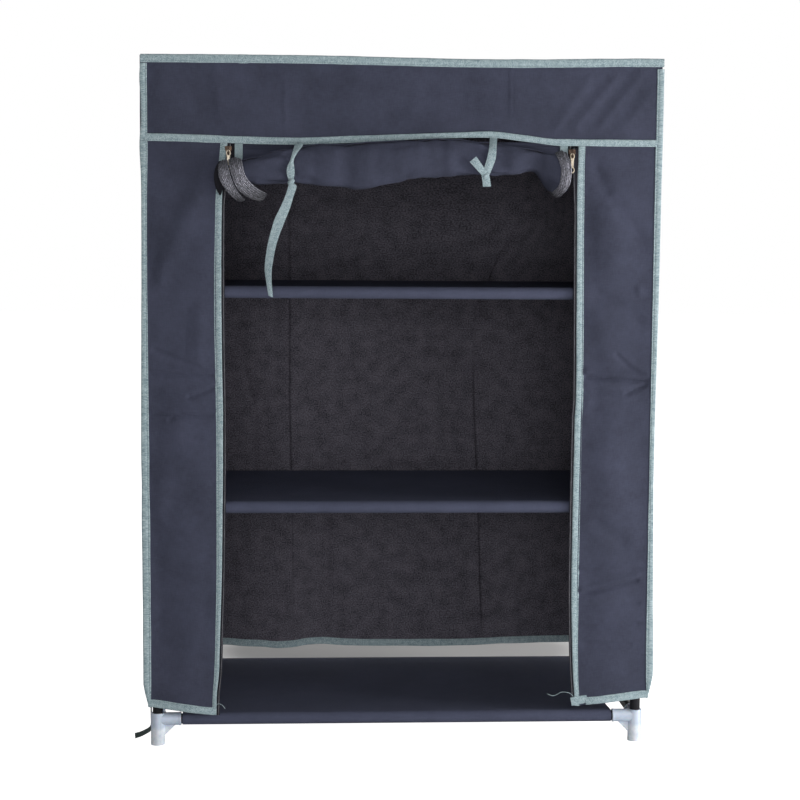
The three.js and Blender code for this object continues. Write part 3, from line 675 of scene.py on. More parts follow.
def slack(share, held, reach=0.2):
    """How freely cloth moves between two sewn edges: not at all near them, fully further in."""
    return eased(limited((min(share, 1 - share) - held) / reach))


def side_point(name, share, z_share):
    """A point of a side of the cover: share runs from the zip (0) over the corner (1) to the back (2)."""
    side = sides[name]
    if share <= 1:
        x_guess = between(strip_edge_x[name], 300) * (1 - share) + outline_x[name][-1][1] * share
        hem = hem_height(name, x_guess)
        z = hem + (cover_top - hem) * z_share
        inner, outer = between(strip_edge_x[name], z) + side * 0.6, between(outline_x[name], z)
        x = inner + (outer - inner) * share
        bulge = strip_bulge * arch(share ** 0.7) ** 2 * min(1, 8 * (1 - z_share))
        relief = strip_relief(name, x, z) * slack(share, edge_held)
        sharp = pressed(box_folds[name], x, z) * slack(share, crease_held, 0.06)
        return at(x, front_face - bulge - relief - sharp, z)
    along = share - 1
    hem = hem_height(name, side * 400)
    z = hem + (cover_top - hem) * z_share
    y = front_face + 2 * abs(front_face) * along
    fold = 1.6 + 1.9 * ripple(y, z / 6, 60, 20 + side) + 0.5 * ripple(y, z, 45, 24 + side)
    return at(between(outline_x[name], z) + side * fold * slack(along, 0.03) * hang(z_share), y, z)


def cover_part(name, rows, node):
    """One cloth of the cover, navy outside and felted inside."""
    return fasten(sheet_of(name, rows, cover_cloth * mm, outer_cloth, lining), "rack", node)


for name in sides:
    shares = spaced(strip_columns) + spaced(side_columns, 1, 2)[1:]
    if name == "left":
        shares.reverse()
    rows = [[side_point(name, s, r) for s in shares] for r in spaced(strip_rows)]
    cover_part(f"cover_{name}", rows, f"cover_{name}_side")

# The back hangs in shallow upright folds, with two sharp creases from its folding in the box
back_hem = [
    (-290, 54), (-213, 53), (-193, 51.5), (-167, 50.7), (-147, 48.5), (-127, 49.8), (-107, 53),
    (-87, 53.8), (-60, 52.1), (-20, 50.5), (60, 50.7), (127, 51.5), (154, 52.8), (244, 54.6), (290, 56),
]
back_folds = [
    (-186.6, 419, -172, 360, 4, 4.2), (-172, 360, -173.5, 287, 5, 3.8),
    (-144, 419, -160.3, 393, 4, 4.4), (-160.3, 393, -165.6, 366, 4, 3.6),
    (-108, 422, -91.4, 386, 4, 4.6), (-91.4, 386, -78.2, 333, 4, 4.4), (-78.2, 333, -78.2, 287, 5, 3.6),
    (-55, 419, -27, 392, 4, 3.4), (-31, 388, -30, 287, 9, -3.4), (-127, 452, -49, 432, 5, 3.6),
    (-49, 432, 63, 416, 5, 3.0), (63, 416, 109, 429, 5, 3.2), (109, 429, 240, 442, 5, 3.6),
    (-78, 227, -80, 70, 8, 4.6), (-150, 520, -146, 470, 9, 4.0),
]
# Each sharp crease: where it starts, its x and its depth by height, and how much cloth leans with it
upright_creases = [
    (-127, [(50, -125), (250, -126), (380, -128.5), (790, -129)],
     [(50, 0), (66, 0.6), (230, 1.6), (290, 3.6), (520, 3.4), (790, 2.4)], 30),
    (124, [(50, 131.5), (227, 123.8), (287, 121.2), (412, 115), (491, 115.6), (505, 118.9), (537, 133.4),
           (567, 145.3), (602, 164.5), (650, 180)],
     [(50, 0), (66, 1), (85, 3.6), (290, 3.8), (412, 3.4), (440, 0.8), (490, 1.2), (515, 2.4),
      (540, 4.0), (567, 2.8), (602, 1.4), (650, 0)], 90),
]
back_rows, hem_pull, crease_width = 122, 0.016, 1.5
near_crease = [side * step for side in (-1, 1) for step in (0.4, 1, 1.7, 2.4, 3.2, 4.2)]
back_shares = [
    share for share in spaced(264)
    if all(abs((2 * share - 1) * back_half - crease[0]) > 5 for crease in upright_creases)
]
for crease in upright_creases:
    back_shares += [((crease[0] + step) / back_half + 1) / 2 for step in near_crease]
back_shares.sort()


def back_point(x_share, z_share):
    """A point of the back: x_share runs from the left corner to the right one, seen from the front."""
    flat_x = (2 * x_share - 1) * back_half
    name = "left" if x_share < 0.5 else "right"
    near_corner = abs(2 * x_share - 1) ** 8
    hem = between(back_hem, flat_x)
    z = hem + (cover_top - hem) * z_share
    pulled_in = 1 - hem_pull * (1 - z_share) ** 3
    corner = between(outline_x[name], z)
    x = flat_x * pulled_in + (corner - sides[name] * back_half * pulled_in) * near_corner
    fold = 1.9 + 2.2 * ripple(x, z / 5, 62, 40) + 1.0 * ripple(x, z, 46, 44) + 0.3 * ripple(x, z, 17, 46)
    fold += pressed(back_folds, x, z)
    for place, line, depth, reach in upright_creases:
        away = flat_x - place
        x += (between(line, z) - place) * bell(away / reach) * (1 - near_corner)
        fold += between(depth, z) * bell(away / crease_width)
    fold *= arch(x_share) ** 0.3 * (1 - 0.75 * z_share ** 2)
    return at(x, back_inside + cover_cloth + fold, z)


rows = [[back_point(s, r) for s in reversed(back_shares)] for r in spaced(back_rows)]
cover_part("cover_back_panel", rows, "cover_back")

# The top lies on the upper sockets and sinks a little between them; the valance hangs from its front
# edge down to the seam that the door is sewn to.
seam_z = [
    (-299, 701.3), (-290, 701.3), (-129, 698.6), (-60, 701.3), (20, 706.2), (98, 708.6), (140, 704.6),
    (181, 700.3), (299, 700.2),
]
seam_bulge = [(-299, 0), (-129, 1), (-60, 1), (20, 3), (98, 5), (181, 2), (299, 0)]
valance_face, top_surface, top_sag = -154.9, 790.3, 2.6
top_half_width, top_half_depth, valance_half = 296.5, 152.4, 298.4
top_edge_z = [
    (-299, 798.8), (-287, 799), (-117, 799.6), (0, 798.4), (76, 797.6), (140, 798), (290, 800.6),
    (299, 800.6),
]
rows = [
    [at(x, y, top_surface - arch(r) * (top_sag * arch(x / 596 + 0.5) - 0.5 * ripple(x, y, 60, 60)))
     for x in spaced(80, -top_half_width, top_half_width)]
    for r, y in zip(spaced(40), spaced(40, -top_half_depth, top_half_depth))
]
cover_part("cover_top_panel", rows, "cover_top")
valance_folds = [
    (123.3, 788, 123.7, 736, 1.5, 0.9), (129, 782, 131, 738, 5, 0.8), (177, 722, 212, 776, 6, 1.2),
    (200, 724, 244, 778, 6, 1.5), (228, 724, 273, 782, 6, 1.4), (255, 722, 285, 760, 6, 1.2),
    (-134.4, 772, -134.3, 715, 3, 0.8), (-212, 778, -204, 722, 7, 0.9),
    (-290, 790, -290, 710, 12, -2.0), (20, 790, 12, 730, 9, 0.8),
]
rows = []
for r in spaced(36):
    row = []
    for x in spaced(300, -valance_half, valance_half):
        low, high = between(seam_z, x), between(top_edge_z, x) - 1
        z = low + (high - low) * r
        bulge = between(seam_bulge, x) * (1 - r) ** 2
        pull = 0.9 * ripple(x, z * 0.6, 42, 70) + 0.2 * ripple(x, z, 12, 71) + pressed(valance_folds, x, z)
        notch = 0.8 * bell((x - 117) / 3) * r ** 6
        row.append(at(x, valance_face - bulge - pull * arch(r) ** 0.5 + notch, z))
    rows.append(row)
cover_part("cover_valance", rows, "cover_top")


# The binding: grey-green polyester tape, folded over each edge and seam of the cover and sewn
# through near its inner edge, so that it lies as a flat, slightly padded band.
binding = mottled_finish(
    "binding_tape", (110, 131, 137), (174, 190, 195), specks=820, clouds=210, contrast=2.4, bump=0.0001,
    gloss=(0.7, 0.9), share=0.5, coordinates="UV", Specular_IOR_Level=0.25,
)
band_profile = [
    (-0.5, -0.2), (-0.5, 0.45), (-0.45, 0.85), (-0.3, 1.0), (-0.05, 0.92), (0.16, 0.95), (0.24, 0.55),
    (0.3, 0.5), (0.37, 0.8), (0.46, 0.75), (0.5, 0.4), (0.5, -0.2),
]


def outward(piece):
    worked(piece, bpy.ops.mesh.normals_make_consistent, inside=False)


def lofted(name, rings, material):
    """A closed body through rings of points, its ends capped."""
    count, last = len(rings[0]), (len(rings) - 1) * len(rings[0])
    faces = [
        (r + c, r + (c + 1) % count, r + count + (c + 1) % count, r + count + c)
        for r in range(0, last, count) for c in range(count)
    ]
    faces += [tuple(reversed(range(count))), tuple(range(last, last + count))]
    piece = mesh_piece(name, [point for ring in rings for point in ring], faces, material)
    unroll(piece, lengths(rings[0]), lengths([ring[0] for ring in rings]))
    outward(piece)
    bpy.ops.object.shade_smooth_by_angle(angle=math.radians(50))
    return piece


def band(name, path, across, out, width=tape_width, thick=tape_thick, seed=1.0, sewn=True):
    """A binding along a path: across runs to the edge that is sewn, and out away from the cloth."""
    ways = across if isinstance(across, list) else [across] * len(path)
    rings = []
    for k, (point, way) in enumerate(zip(path, ways)):
        uneven = width * (1 + 0.045 * ripple(k, 0, 7, seed))
        rings.append([point + way * (u * uneven * mm) + out * (h * thick * mm) for u, h in band_profile])
    if sewn:
        row = [point + way * (0.27 * width * mm) + out * (0.5 * thick * mm) for point, way in zip(path, ways)]
        all_stitches["tape"].append((row, out))
    fasten(lofted(name, rings, binding), "rack")


x_way, y_way, z_way = Vector((1, 0, 0)), Vector((0, 1, 0)), Vector((0, 0, 1))
half_tape = tape_width / 2 * mm
hem_start = {"left": 0, "right": 0.15}
top_sides = {"left": (-295.6, top_surface + 3.5), "right": (back_half, top_surface + 4.6)}
for name, side in sides.items():
    out_side = x_way * side
    # The front corner's seam, whose binding folds away round the corner near the hem
    path, ways = [], []
    for r in spaced(110):
        corner = side_point(name, 1, r)
        z = corner.z / mm
        outer, inner = between(outline_x[name], z) + side * 0.4, between(corner_inner_x[name], z)
        on_valance = limited((z - between(seam_z, side * 299) + 3) / 8)
        forward = (valance_face - front_face) * mm * on_valance
        path.append(Vector(((outer + inner) / 2 * mm, corner.y + forward, corner.z)))
        ways.append(-out_side * max(abs(outer - inner), 2) / tape_width)
    band(f"corner_binding_{name}", path, ways, -y_way, thick=1.3, seed=5)
    # The strip's inner edge, up to the seam
    path, ways = [], []
    for r in spaced(110):
        edge = side_point(name, 0, r)
        z = edge.z / mm
        inner, outer = between(strip_edge_x[name], z), between(strip_outer_x[name], z)
        if z < between(seam_z, inner) + 4:
            path.append(Vector(((outer + inner) / 2 * mm, edge.y, edge.z)))
            ways.append(out_side * abs(outer - inner) / tape_width)
    band(f"strip_binding_{name}", path, ways, -y_way, thick=1.1, seed=8)
    # The hem along the strip and round the side, the back corner's seam and the top's side edge
    path = [side_point(name, s, 0) + z_way * half_tape for s in spaced(24, hem_start[name])]
    band(f"strip_hem_{name}", path, z_way, -y_way, thick=1.4, seed=11)
    path = [side_point(name, 1 + s, 0) + z_way * half_tape for s in spaced(40)]
    band(f"side_hem_{name}", path, z_way, out_side, thick=1.2, seed=14)
    path = [side_point(name, 2, r) - y_way * half_tape for r in spaced(80)]
    band(f"back_corner_binding_{name}", path, -y_way, out_side, seed=17)
    top_x, top_z = top_sides[name]
    path = [at(top_x, y, top_z) for y in spaced(40, -150.5, 151.5)]
    band(f"top_binding_{name}", path, -z_way, out_side, width=10.4, thick=1.6, seed=19)

# The top's front edge, with the place where its tape's two ends overlap
path = [at(x, valance_face, between(top_edge_z, x) - 4.7) for x in spaced(150, -297.6, 300.1)]
band("top_binding_front", path, -z_way, -y_way, width=9.5, thick=1.5, seed=23)
path = [at(x, valance_face - 0.9, between(top_edge_z, x) - 4.9) for x in spaced(6, -187, -176)]
band("top_binding_join", path, -z_way, -y_way, width=9.9, thick=1.1, seed=33, sewn=False)
# The right hem's folded end: the upper edge and the lower edge of its tape
folded_end = [(202.6, 55), (208, 55.9), (215, 57), (221.7, 57.9)]
folded_foot = [(204.6, 45.1), (210, 46.3), (217, 47.7), (223.8, 49.1)]
path, ways = [], []
for (x, z), (u, v) in zip(folded_end, folded_foot):
    path.append(at((x + u) / 2, front_face - 0.9, (z + v) / 2))
    ways.append(Vector((x - u, 0, z - v)) / tape_width)
band("hem_fold_right", path, ways, -y_way, thick=1.5, seed=35, sewn=False)
path = [at(x, back_inside + cover_cloth, top_surface + 4.4) for x in spaced(80, -299, 299)]
band("top_binding_back", path, -z_way, y_way, width=10.4, thick=1.6, seed=25)
# The seam between the valance and the door
seam_width = [
    (-290, 8.9), (-150, 8.2), (-60, 8), (20, 6.4), (60, 6.4), (98, 7.2), (140, 7.3), (200, 7.8), (294, 8),
]
path = [
    at(x, valance_face - between(seam_bulge, x), between(seam_z, x) + between(seam_width, x) / 2)
    for x in spaced(150, -293, 294)
]
ways = [-z_way * between(seam_width, x) / tape_width for x in spaced(150, -293, 294)]
band("seam_binding", path, ways, -y_way, thick=1.1, seed=27)
# The back's hem, bound on both faces
path = [back_point(s, 0) + z_way * half_tape for s in spaced(100)]
band("back_hem_outside", path, z_way, y_way, thick=1.0, seed=29)
path = [p - y_way * cover_cloth * mm for p in path]
band("back_hem_inside", path, z_way, -y_way, thick=1.0, seed=31)

edges = {
    name: [f"{part}_{name}" for part in ("corner_binding", "strip_binding", "strip_hem", "side_hem")]
    for name in sides
}
for name, flat, parts in (
    ("cover_left", (0.402, 0.75), edges["left"]),
    ("cover_right", (0.402, 0.75), [*edges["right"], "hem_fold_right"]),
    ("cover_back_panel", (0.6, 0.737), ["back_hem_outside", "back_hem_inside"]),
    ("cover_top_panel", (0.6, 0.306), ["top_binding_back"]),
    ("cover_valance", (0.6, 0.1), ["seam_binding", "top_binding_front", "top_binding_join"]),
):
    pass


# The sewing: lockstitch in a thread a little darker than the tape, and in navy along the shelves'
# sleeves, one short bright body for each stitch; and threads that have come loose at two hem ends.
stitch_pitch, stitch_length, stitch_half, stitch_proud = 3.3 * mm, 2.3 * mm, 0.3 * mm, 0.22 * mm
for name, slot_name, thread_name, colour, speck in (
    ("tape", "tie_tape", "tape_thread", (88, 104, 108), (128, 143, 147)),
    ("shelf", "shelf_cloth", "navy_thread", (40, 43, 55), (66, 70, 88)),
):
    thread = mottled_finish(
        thread_name, colour, speck, specks=900, clouds=200, contrast=1.4, bump=0.00005,
        gloss=(0.5, 0.65), Specular_IOR_Level=0.4,
    )
    points, faces = [], []
    for row, out in all_stitches[name]:
        reached = 0.0
        for start, end in zip(row, row[1:]):
            way = (end - start).normalized()
            side = way.cross(out).normalized()
            span = (end - start).length
            while reached < span:
                first, here = len(points), start + way * reached
                for step in (-way * stitch_length / 2, side * stitch_half, out * stitch_proud):
                    points += [here + step, here - step]
                for tip, ring in ((0, (5, 3, 4, 2)), (1, (2, 4, 3, 5))):
                    faces += [
                        (first + tip, first + ring[k], first + ring[(k + 1) % 4]) for k in range(4)
                    ]
                reached += stitch_pitch
            reached -= span
    stitches = mesh_piece(name + "_stitches", points, faces, thread)
    outward(stitches)
    fasten(stitches, "rack")
loose_threads = {
    "left": [(-213, -154.2, 49), (-211.1, -155.6, 51), (-206.5, -156.4, 49.8), (-203, -156.6, 45.6)],
    "right": [(206, -154.4, 57), (202, -155.6, 60.3), (192.4, -156.6, 62.2), (181.8, -156.8, 58.1),
              (174.7, -157.2, 60.5)],
}
for name, route in loose_threads.items():
    alone()
    bpy.ops.curve.primitive_bezier_curve_add()
    thread = bpy.context.object
    thread.name = "loose_thread_" + name
    spline = thread.data.splines[0]
    spline.bezier_points.add(len(route) - 2)
    for knot, place in zip(spline.bezier_points, route):
        knot.co = at(*place)
        knot.handle_left_type = knot.handle_right_type = "AUTO"
    thread.data.bevel_depth, thread.data.bevel_resolution = 0.32 * mm, 2
    thread.data.use_fill_caps = True
    alone(thread)
    bpy.ops.object.convert(target="MESH")
    thread = bpy.context.object
    thread.data.materials.clear()
    thread.data.materials.append(binding)
    bpy.ops.object.shade_smooth()
    fasten(thread, "rack")


# The zips: a black woven tape sewn under each strip's binding, with a nylon coil along its edge, and
# a slider of antique brass on each coil with a cast pull hanging from its bail.
# The black tape's colours are set darker than the tape itself: painted shade, set for the fold beside the
# left curl, that every zip tape takes
zip_black = woven_finish(
    "zip_tape", (17, 17, 23), (42, 42, 50), threads=1400, slubs=700, contrast=1.2, bump=0.0001,
    gloss=(0.75, 0.9), Specular_IOR_Level=0.2,
)
nylon = mottled_finish(
    "zip_coil", (72, 72, 78), (120, 120, 126), specks=900, clouds=120, contrast=1.6, bump=0.00005,
    gloss=(0.35, 0.5), Specular_IOR_Level=0.5,
)
pull_gold = mottled_finish(
    "zip_pull", (158, 144, 122), (226, 216, 198), specks=420, clouds=120, contrast=1.6, bump=0.0001,
    gloss=(0.28, 0.42), Metallic=0.45,
)
brass = mottled_finish(
    "zip_brass", (16, 14, 13), (98, 80, 68), specks=640, clouds=200, contrast=2.0, bump=0.0001,
    gloss=(0.28, 0.5), share=0.4, Metallic=0.85,
)
coil_width, coil_depth, tooth_height, tooth_pitch, coil_offset = 1.5, 1.6, 0.7, 1.25, 2.0
zip_y, zip_top, zip_cloth = front_face + 0.4, 698, 0.5 * mm
# So far below the slider the coil leaves the strip's edge, and over such a length it bends in
bend_below, bend_length = 70, 60
slider_x = {name: middle("zip_slider_" + name).x / mm for name in sides}
slider_z = middle("zip_slider_left").z / mm


def teeth(name, places):
    """A zip's coil, one rounded loop for each place that it passes."""
    w, d, h = coil_width / 2, coil_depth / 2, tooth_height / 2
    outline = [(-w, 0, h * 0.6), (-w * 0.4, -d, h), (w * 0.4, -d, h), (w, 0, h * 0.6), (0, d, h * 0.6)]
    points, faces = [], []
    for place in places:
        first = len(points)
        points += [place + Vector((x, y, way * z)) * mm for way in (-1, 1) for x, y, z in outline]
        faces += [(first + a, first + (a + 1) % 5, first + (a + 1) % 5 + 5, first + a + 5) for a in range(5)]
        faces += [tuple(first + a for a in (4, 3, 2, 1, 0)), tuple(first + a for a in (5, 6, 7, 8, 9))]
    return mesh_piece(name, points, faces, nylon)


for name, side in sides.items():
    def coil_x(z):
        """Beside the strip's edge, and into the slider near the top."""
        free = between(strip_edge_x[name], z) - side * 2.4
        rest = slider_x[name] + side * coil_offset
        return free + (rest - free) * eased(limited((z - slider_z + bend_below) / bend_length))

    hem = hem_height(name, strip_edge_x[name][0][1])
    rows = []
    for z in spaced(120, hem, zip_top):
        ends = between(strip_edge_x[name], z) + side * 2, coil_x(z) - side * 1.2
        row = [
            at(x, zip_y - 0.7 + 0.35 * ripple(z, s, 24, side), z) for s, x in zip(spaced(5), spaced(5, *ends))
        ]
        rows.append(row if name == "left" else row[::-1])
    fasten(sheet_of(f"zip_tape_{name}", rows, zip_cloth, zip_black), "rack")
    count = int((zip_top - hem) / tooth_pitch)
    places = [at(coil_x(z), zip_y - 0.6, z) for z in spaced(count, hem, zip_top)]
    fasten(teeth(f"zip_coil_{name}", places), "rack")


def block(size, place, rounding, taper=1.0):
    """A small block with rounded edges, in millimetres, its lower end narrowed by the taper."""
    place = Vector(place) * mm
    alone()
    bpy.ops.mesh.primitive_cube_add(size=1, location=place)
    made = bpy.context.object
    made.scale = Vector(size) * mm
    bpy.ops.object.transform_apply(location=True, rotation=True, scale=True)
    for vertex in made.data.vertices:
        if vertex.co.z < place.z:
            vertex.co.x = place.x + (vertex.co.x - place.x) * taper
    worked(made, bpy.ops.mesh.bevel, offset=rounding * mm, segments=3)
    return made


def loop_of(place, radius, wire, stretch, turn):
    """A wire ring, in millimetres, stretched upwards, that stands across the way that turn says."""
    place = Vector(place) * mm
    alone()
    bpy.ops.mesh.primitive_torus_add(
        location=place, rotation=turn, major_radius=radius * mm, minor_radius=wire * mm,
        major_segments=28, minor_segments=10,
    )
    made = bpy.context.object
    bpy.ops.object.transform_apply(location=True, rotation=True, scale=True)
    for vertex in made.data.vertices:
        vertex.co.z = place.z + (vertex.co.z - place.z) * stretch
    return made


def joined(name, parts, material):
    """One piece of several parts, on the body of the same name."""
    alone(parts[0])
    for part in parts:
        part.select_set(True)
    bpy.ops.object.join()
    whole = bpy.context.object
    whole.name = name
    whole.data.materials.clear()
    whole.data.materials.append(material)
    bpy.ops.object.shade_smooth_by_angle(angle=math.radians(40))
    fasten(whole, name, "zip_" + name)


for name in sides:
    x, y, z = slider_x[name], front_face + 0.6 + rack_forward, slider_z
    plates = [block((8.2, 1.1, 10), (x, y + face * 1.9, z), 0.45, 0.62) for face in (-1, 1)]
    ridge_bar = block((2.6, 1.2, 8.4), (x, y - 2.6, z), 0.4, 0.8)
    post = block((1.2, 3.6, 4.6), (x, y, z + 2.2), 0.2)
    lips = [
        block((0.7, 1.2, 4.6), (x + side * 3.7, y + face * 1.1, z + 2.4), 0.2)
        for side in (-1, 1) for face in (-1, 1)
    ]
    bail = loop_of((x, y - 3.3, z), 1.9, 0.55, 1.75, (0, math.pi / 2, 0))
    joined("slider_" + name, [*plates, ridge_bar, post, *lips, bail], brass)
    low, high = [corner.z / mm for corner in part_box("zip_pull_" + name)]
    y = middle("zip_pull_" + name).y / mm
    eye = loop_of((x, y, high - 3.6), 2.1, 0.6, 1.45, (math.pi / 2, 0, 0))
    waist = block((3.5, 1.1, 9.6), (x, y, high - 11.4), 0.4, 0.72)
    waist_top = block((4.4, 1.2, 2.4), (x, y, high - 7.4), 0.5, 0.8)
    end_ring = loop_of((x, y, low + 3.7), 2.1, 0.62, 1.4, (math.pi / 2, 0, 0))
    joined("pull_" + name, [eye, waist, waist_top, end_ring], pull_gold)


# The door, rolled up: its navy cloth hangs from the seam, turns outward into a flat spiral roll, and
# is narrower where the ties pull it in. Lowered, the same cloth closes the front.
roll_clearance = 7.1
roll_left, roll_right = slider_x["left"] + roll_clearance, slider_x["right"] - roll_clearance
roll_back, roll_height, roll_thickness, roll_turns, roll_pitch = -151.5, 53.0, 26.0, 5, 2.1
# By the share of the roll's width: where its underside and its top lie below the seam, as shares of
# its height, and how much of its thickness it has
roll_bottom = [
    (0, 0.89), (0.06, 0.86), (0.14, 0.83), (0.2, 0.83), (0.28, 0.9), (0.37, 1), (0.46, 0.93),
    (0.55, 0.84), (0.64, 0.82), (0.72, 0.8), (0.78, 0.8), (0.85, 0.72), (0.9, 0.62), (0.95, 1),
    (1, 0.97),
]
roll_top = [
    (0, 0.37), (0.035, 0.31), (0.078, 0.225), (0.122, 0.132), (0.181, 0.02), (0.28, 0), (0.6, 0),
    (0.68, 0.02), (0.795, 0.11), (0.88, 0.125), (0.96, 0.16), (1, 0.19),
]
roll_thick = [
    (0, 0.96), (0.06, 1), (0.14, 0.86), (0.2, 0.86), (0.28, 1), (0.46, 1), (0.55, 0.98), (0.64, 0.94),
    (0.72, 0.8), (0.78, 0.8), (0.85, 0.92), (0.9, 0.76), (0.95, 1), (1, 0.94),
]
# Along this line of x and height a crease turns the right lobe's underside back
lobe_crease = [(141, 664), (147.7, 672.2), (162.7, 666.7), (175.5, 659.9), (186, 655)]
tie_x, tie_reach, turn_steps, roll_cloth = (-127.5, 95), 44, 40, 1.1 * mm


def roll_section(x):
    """The roll's section at one place: the y and z of its middle, half its thickness and half its height."""
    share = (x - roll_left) / (roll_right - roll_left)
    seam = between(seam_z, x) - 0.8
    top = seam - roll_height * between(roll_top, share)
    bottom = seam - roll_height * between(roll_bottom, share)
    half_thick = roll_thickness / 2 * between(roll_thick, share)
    return roll_back - half_thick, (top + bottom) / 2, half_thick, (top - bottom) / 2


def roll_point(x, turn, inset):
    """A point of the rolled cloth, so many turns round the roll and so far in from its outside."""
    y, z, half_thick, half_high = roll_section(x)
    angle = 2 * math.pi * turn
    crease = 1.0 * ripple(x, 60 * math.sin(angle), 26, 80) + 0.5 * ripple(x * 2, turn * 40, 20, 82)
    for place in tie_x:
        near = max(0, 1 - abs(x - place) / tie_reach)
        crease += 1.4 * near * math.sin(6 * angle + place + 0.12 * (x - place)) - 1.1 * bell((x - place) / 6)
    inset = min(inset * half_thick / 13 - crease * (turn < 1.05), half_thick - 0.8)
    forward, up = [math.copysign(abs(v) ** 0.8, v) for v in (math.sin(angle), math.cos(angle))]
    y, z = y + (half_thick - inset) * forward, z + (half_high - inset) * up
    below = max(between(lobe_crease, x) - z, 0) if x > lobe_crease[0][0] else 0
    return at(x, min(y + 1.1 * below, roll_back - 0.5 + inset * 0.1), z)


def roll_front(x, z):
    """How far forward the roll reaches at one height."""
    y, centre, half_thick, half_high = roll_section(x)
    up = min(abs(z - centre) / half_high, 0.999) ** 1.25
    return y - half_thick * math.sqrt(1 - up * up) ** 0.8


def squeezed(piece):
    """Gives a piece a mesh of its own."""
    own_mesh(piece)


rows = []
for turn in spaced(roll_turns * turn_steps, 0, roll_turns):
    across = spaced(110, roll_left - 0.9 * turn, roll_right + 0.9 * turn)
    rows.append([roll_point(x, turn, roll_pitch * turn) for x in across])
roll = sheet_of("door_rolled", rows, roll_cloth, outer_cloth, lining)
fasten(roll, "door", "door_roll")
squeezed(roll)

# The part of the door between the seam and the roll: it is drawn at its lowered size, and each point
# is put where it is while the door is rolled up
door_travel = 600.0
head_top, head_low, head_y = 704.0, 676.0, -150.7
lowest = head_low - door_travel


def rolled_up(lowered):
    """The height, with the door rolled up, of a point that is at this height with the door lowered."""
    low, high = 0.0, 1.0
    for _ in range(40):
        t = (low + high) / 2
        z = head_top - (head_top - head_low) * t - door_travel * eased(t)
        low, high = (t, high) if z > lowered else (low, t)
    return head_top - (head_top - head_low) * low


def raised(piece):
    """Draws a lowered piece up behind the roll."""
    for vertex in piece.data.vertices:
        vertex.co.z = rolled_up(vertex.co.z / mm) * mm
    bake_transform(piece)
    return piece


door_edge = {"left": slider_x["left"] + 8.0, "right": slider_x["right"] - 5.8}
rows = [
    [at(x, head_y - 0.5 * ripple(500 * s, z / 6, 60, 90) * arch(s) * (z < 640), z)
     for s, x in zip(spaced(60), spaced(60, door_edge["left"], door_edge["right"]))]
    for z in spaced(90, lowest, head_top)
]
head = raised(sheet_of("door_cloth", rows, 0.9 * mm, outer_cloth, lining))
for name, side in sides.items():
    x = door_edge[name] - side * tape_width / 2 + side
    rings = [
        [at(x + side * u * tape_width, head_y - 0.9 - h * 0.8, z) for u, h in band_profile]
        for z in spaced(90, lowest, head_top)
    ]
    raised(lofted(f"door_binding_{name}", rings, binding))
    coil = slider_x[name] - side * coil_offset
    rows = []
    for z in spaced(60, lowest, head_top):
        row = [at(x, head_y - 0.4, z) for x in spaced(4, door_edge[name] - side, coil)]
        rows.append(row if name == "right" else row[::-1])
    raised(sheet_of(f"door_zip_tape_{name}", rows, zip_cloth, zip_black))
    count = int((head_top - lowest) / tooth_pitch)
    places = [at(coil, head_y - 0.6, z) for z in spaced(count, lowest, head_top)]
    raised(teeth(f"door_coil_{name}", places))

# The door's zip tape, rolled up with it, shows as ribbed bands that curl round the roll's two ends.
# The ribs run along the tape with painted shade in the grooves between them; they are streaked with wear,
# and the tape gets darker towards both its ends.
ribbed, given, result = group("ribbed", ["Colour", "Groove Colour"], ["Pitch"])
drift = out_of(ribbed, "TexNoise", {"Vector": given["Vector"], "Scale": 110.0, "Detail": 1})
shift = out_of(ribbed, "MapRange", {"Value": drift, "To Min": -0.0007, "To Max": 0.0007})
parts = add(ribbed, "SeparateXYZ", {0: given["Vector"]}).outputs
across = reckon(ribbed, "DIVIDE", reckon(ribbed, "ADD", parts[0], shift), given["Pitch"])
# Dark between the ribs: painted shade in the grooves
ridge = reckon(ribbed, "ABSOLUTE", reckon(ribbed, "SINE", reckon(ribbed, "MULTIPLY", across, math.pi)))
drawn_out = out_of(ribbed, "VectorMath", {0: given["Vector"], 1: (1, 0.35, 1)}, operation="MULTIPLY")
fluff = out_of(ribbed, "TexNoise", {"Vector": drawn_out, "Scale": 1100.0, "Detail": 3})
worn = out_of(ribbed, "MapRange", {"Value": fluff, "From Min": 0.38, "From Max": 0.62, "To Min": 0.1})
# Darker towards the tape's free end and towards its top end
darker_to_free_end, darker_to_top_end = [
    out_of(
        ribbed, "MapRange",
        {"Value": parts[1], "From Min": start, "From Max": end, "To Min": first, "To Max": last},
        interpolation_type="SMOOTHSTEP",
    )
    for start, end, first, last in ((0.003, 0.034, 0.16, 1), (0.04, 0.058, 1, 0.3))
]
streaks = reckon(ribbed, "MULTIPLY", worn, reckon(ribbed, "MULTIPLY", darker_to_free_end, darker_to_top_end))
light = reckon(ribbed, "MULTIPLY", ridge, streaks, use_clamp=True)
give(ribbed, result, light, light, given["Groove Colour"], given["Colour"])
rib_pitch, curl_length, curl_plane = 2.2, 60 * mm, -150.9
ribbed_tape = finish(
    "curled_zip_tape", ribbed,
    {"Colour": linear(200, 200, 214), "Groove Colour": linear(20, 21, 26), "Pitch": rib_pitch * mm},
    0.0004, (0.5, 0.7), "UV", Specular_IOR_Level=0.4,
)


def evenly(points, count):
    """Points at even steps along a smooth line through the given ones."""
    points = [Vector(p) for p in points]
    ends = [points[0] * 2 - points[1], *points, points[-1] * 2 - points[-2]]
    fine = [
        0.5 * (2 * b + (c - a) * t + (2 * a - 5 * b + 4 * c - d) * t ** 2 + (3 * b - a - 3 * c + d) * t ** 3)
        for a, b, c, d in zip(ends, ends[1:], ends[2:], ends[3:]) for t in spaced(12)[:-1]
    ]
    fine.append(points[-1])
    reached = lengths(fine)
    even, k = [], 0
    for goal in spaced(count, 0, reached[-1]):
        while k < len(fine) - 2 and reached[k + 1] < goal:
            k += 1
        span = reached[k + 1] - reached[k] or 1
        even.append(fine[k].lerp(fine[k + 1], (goal - reached[k]) / span))
    return even


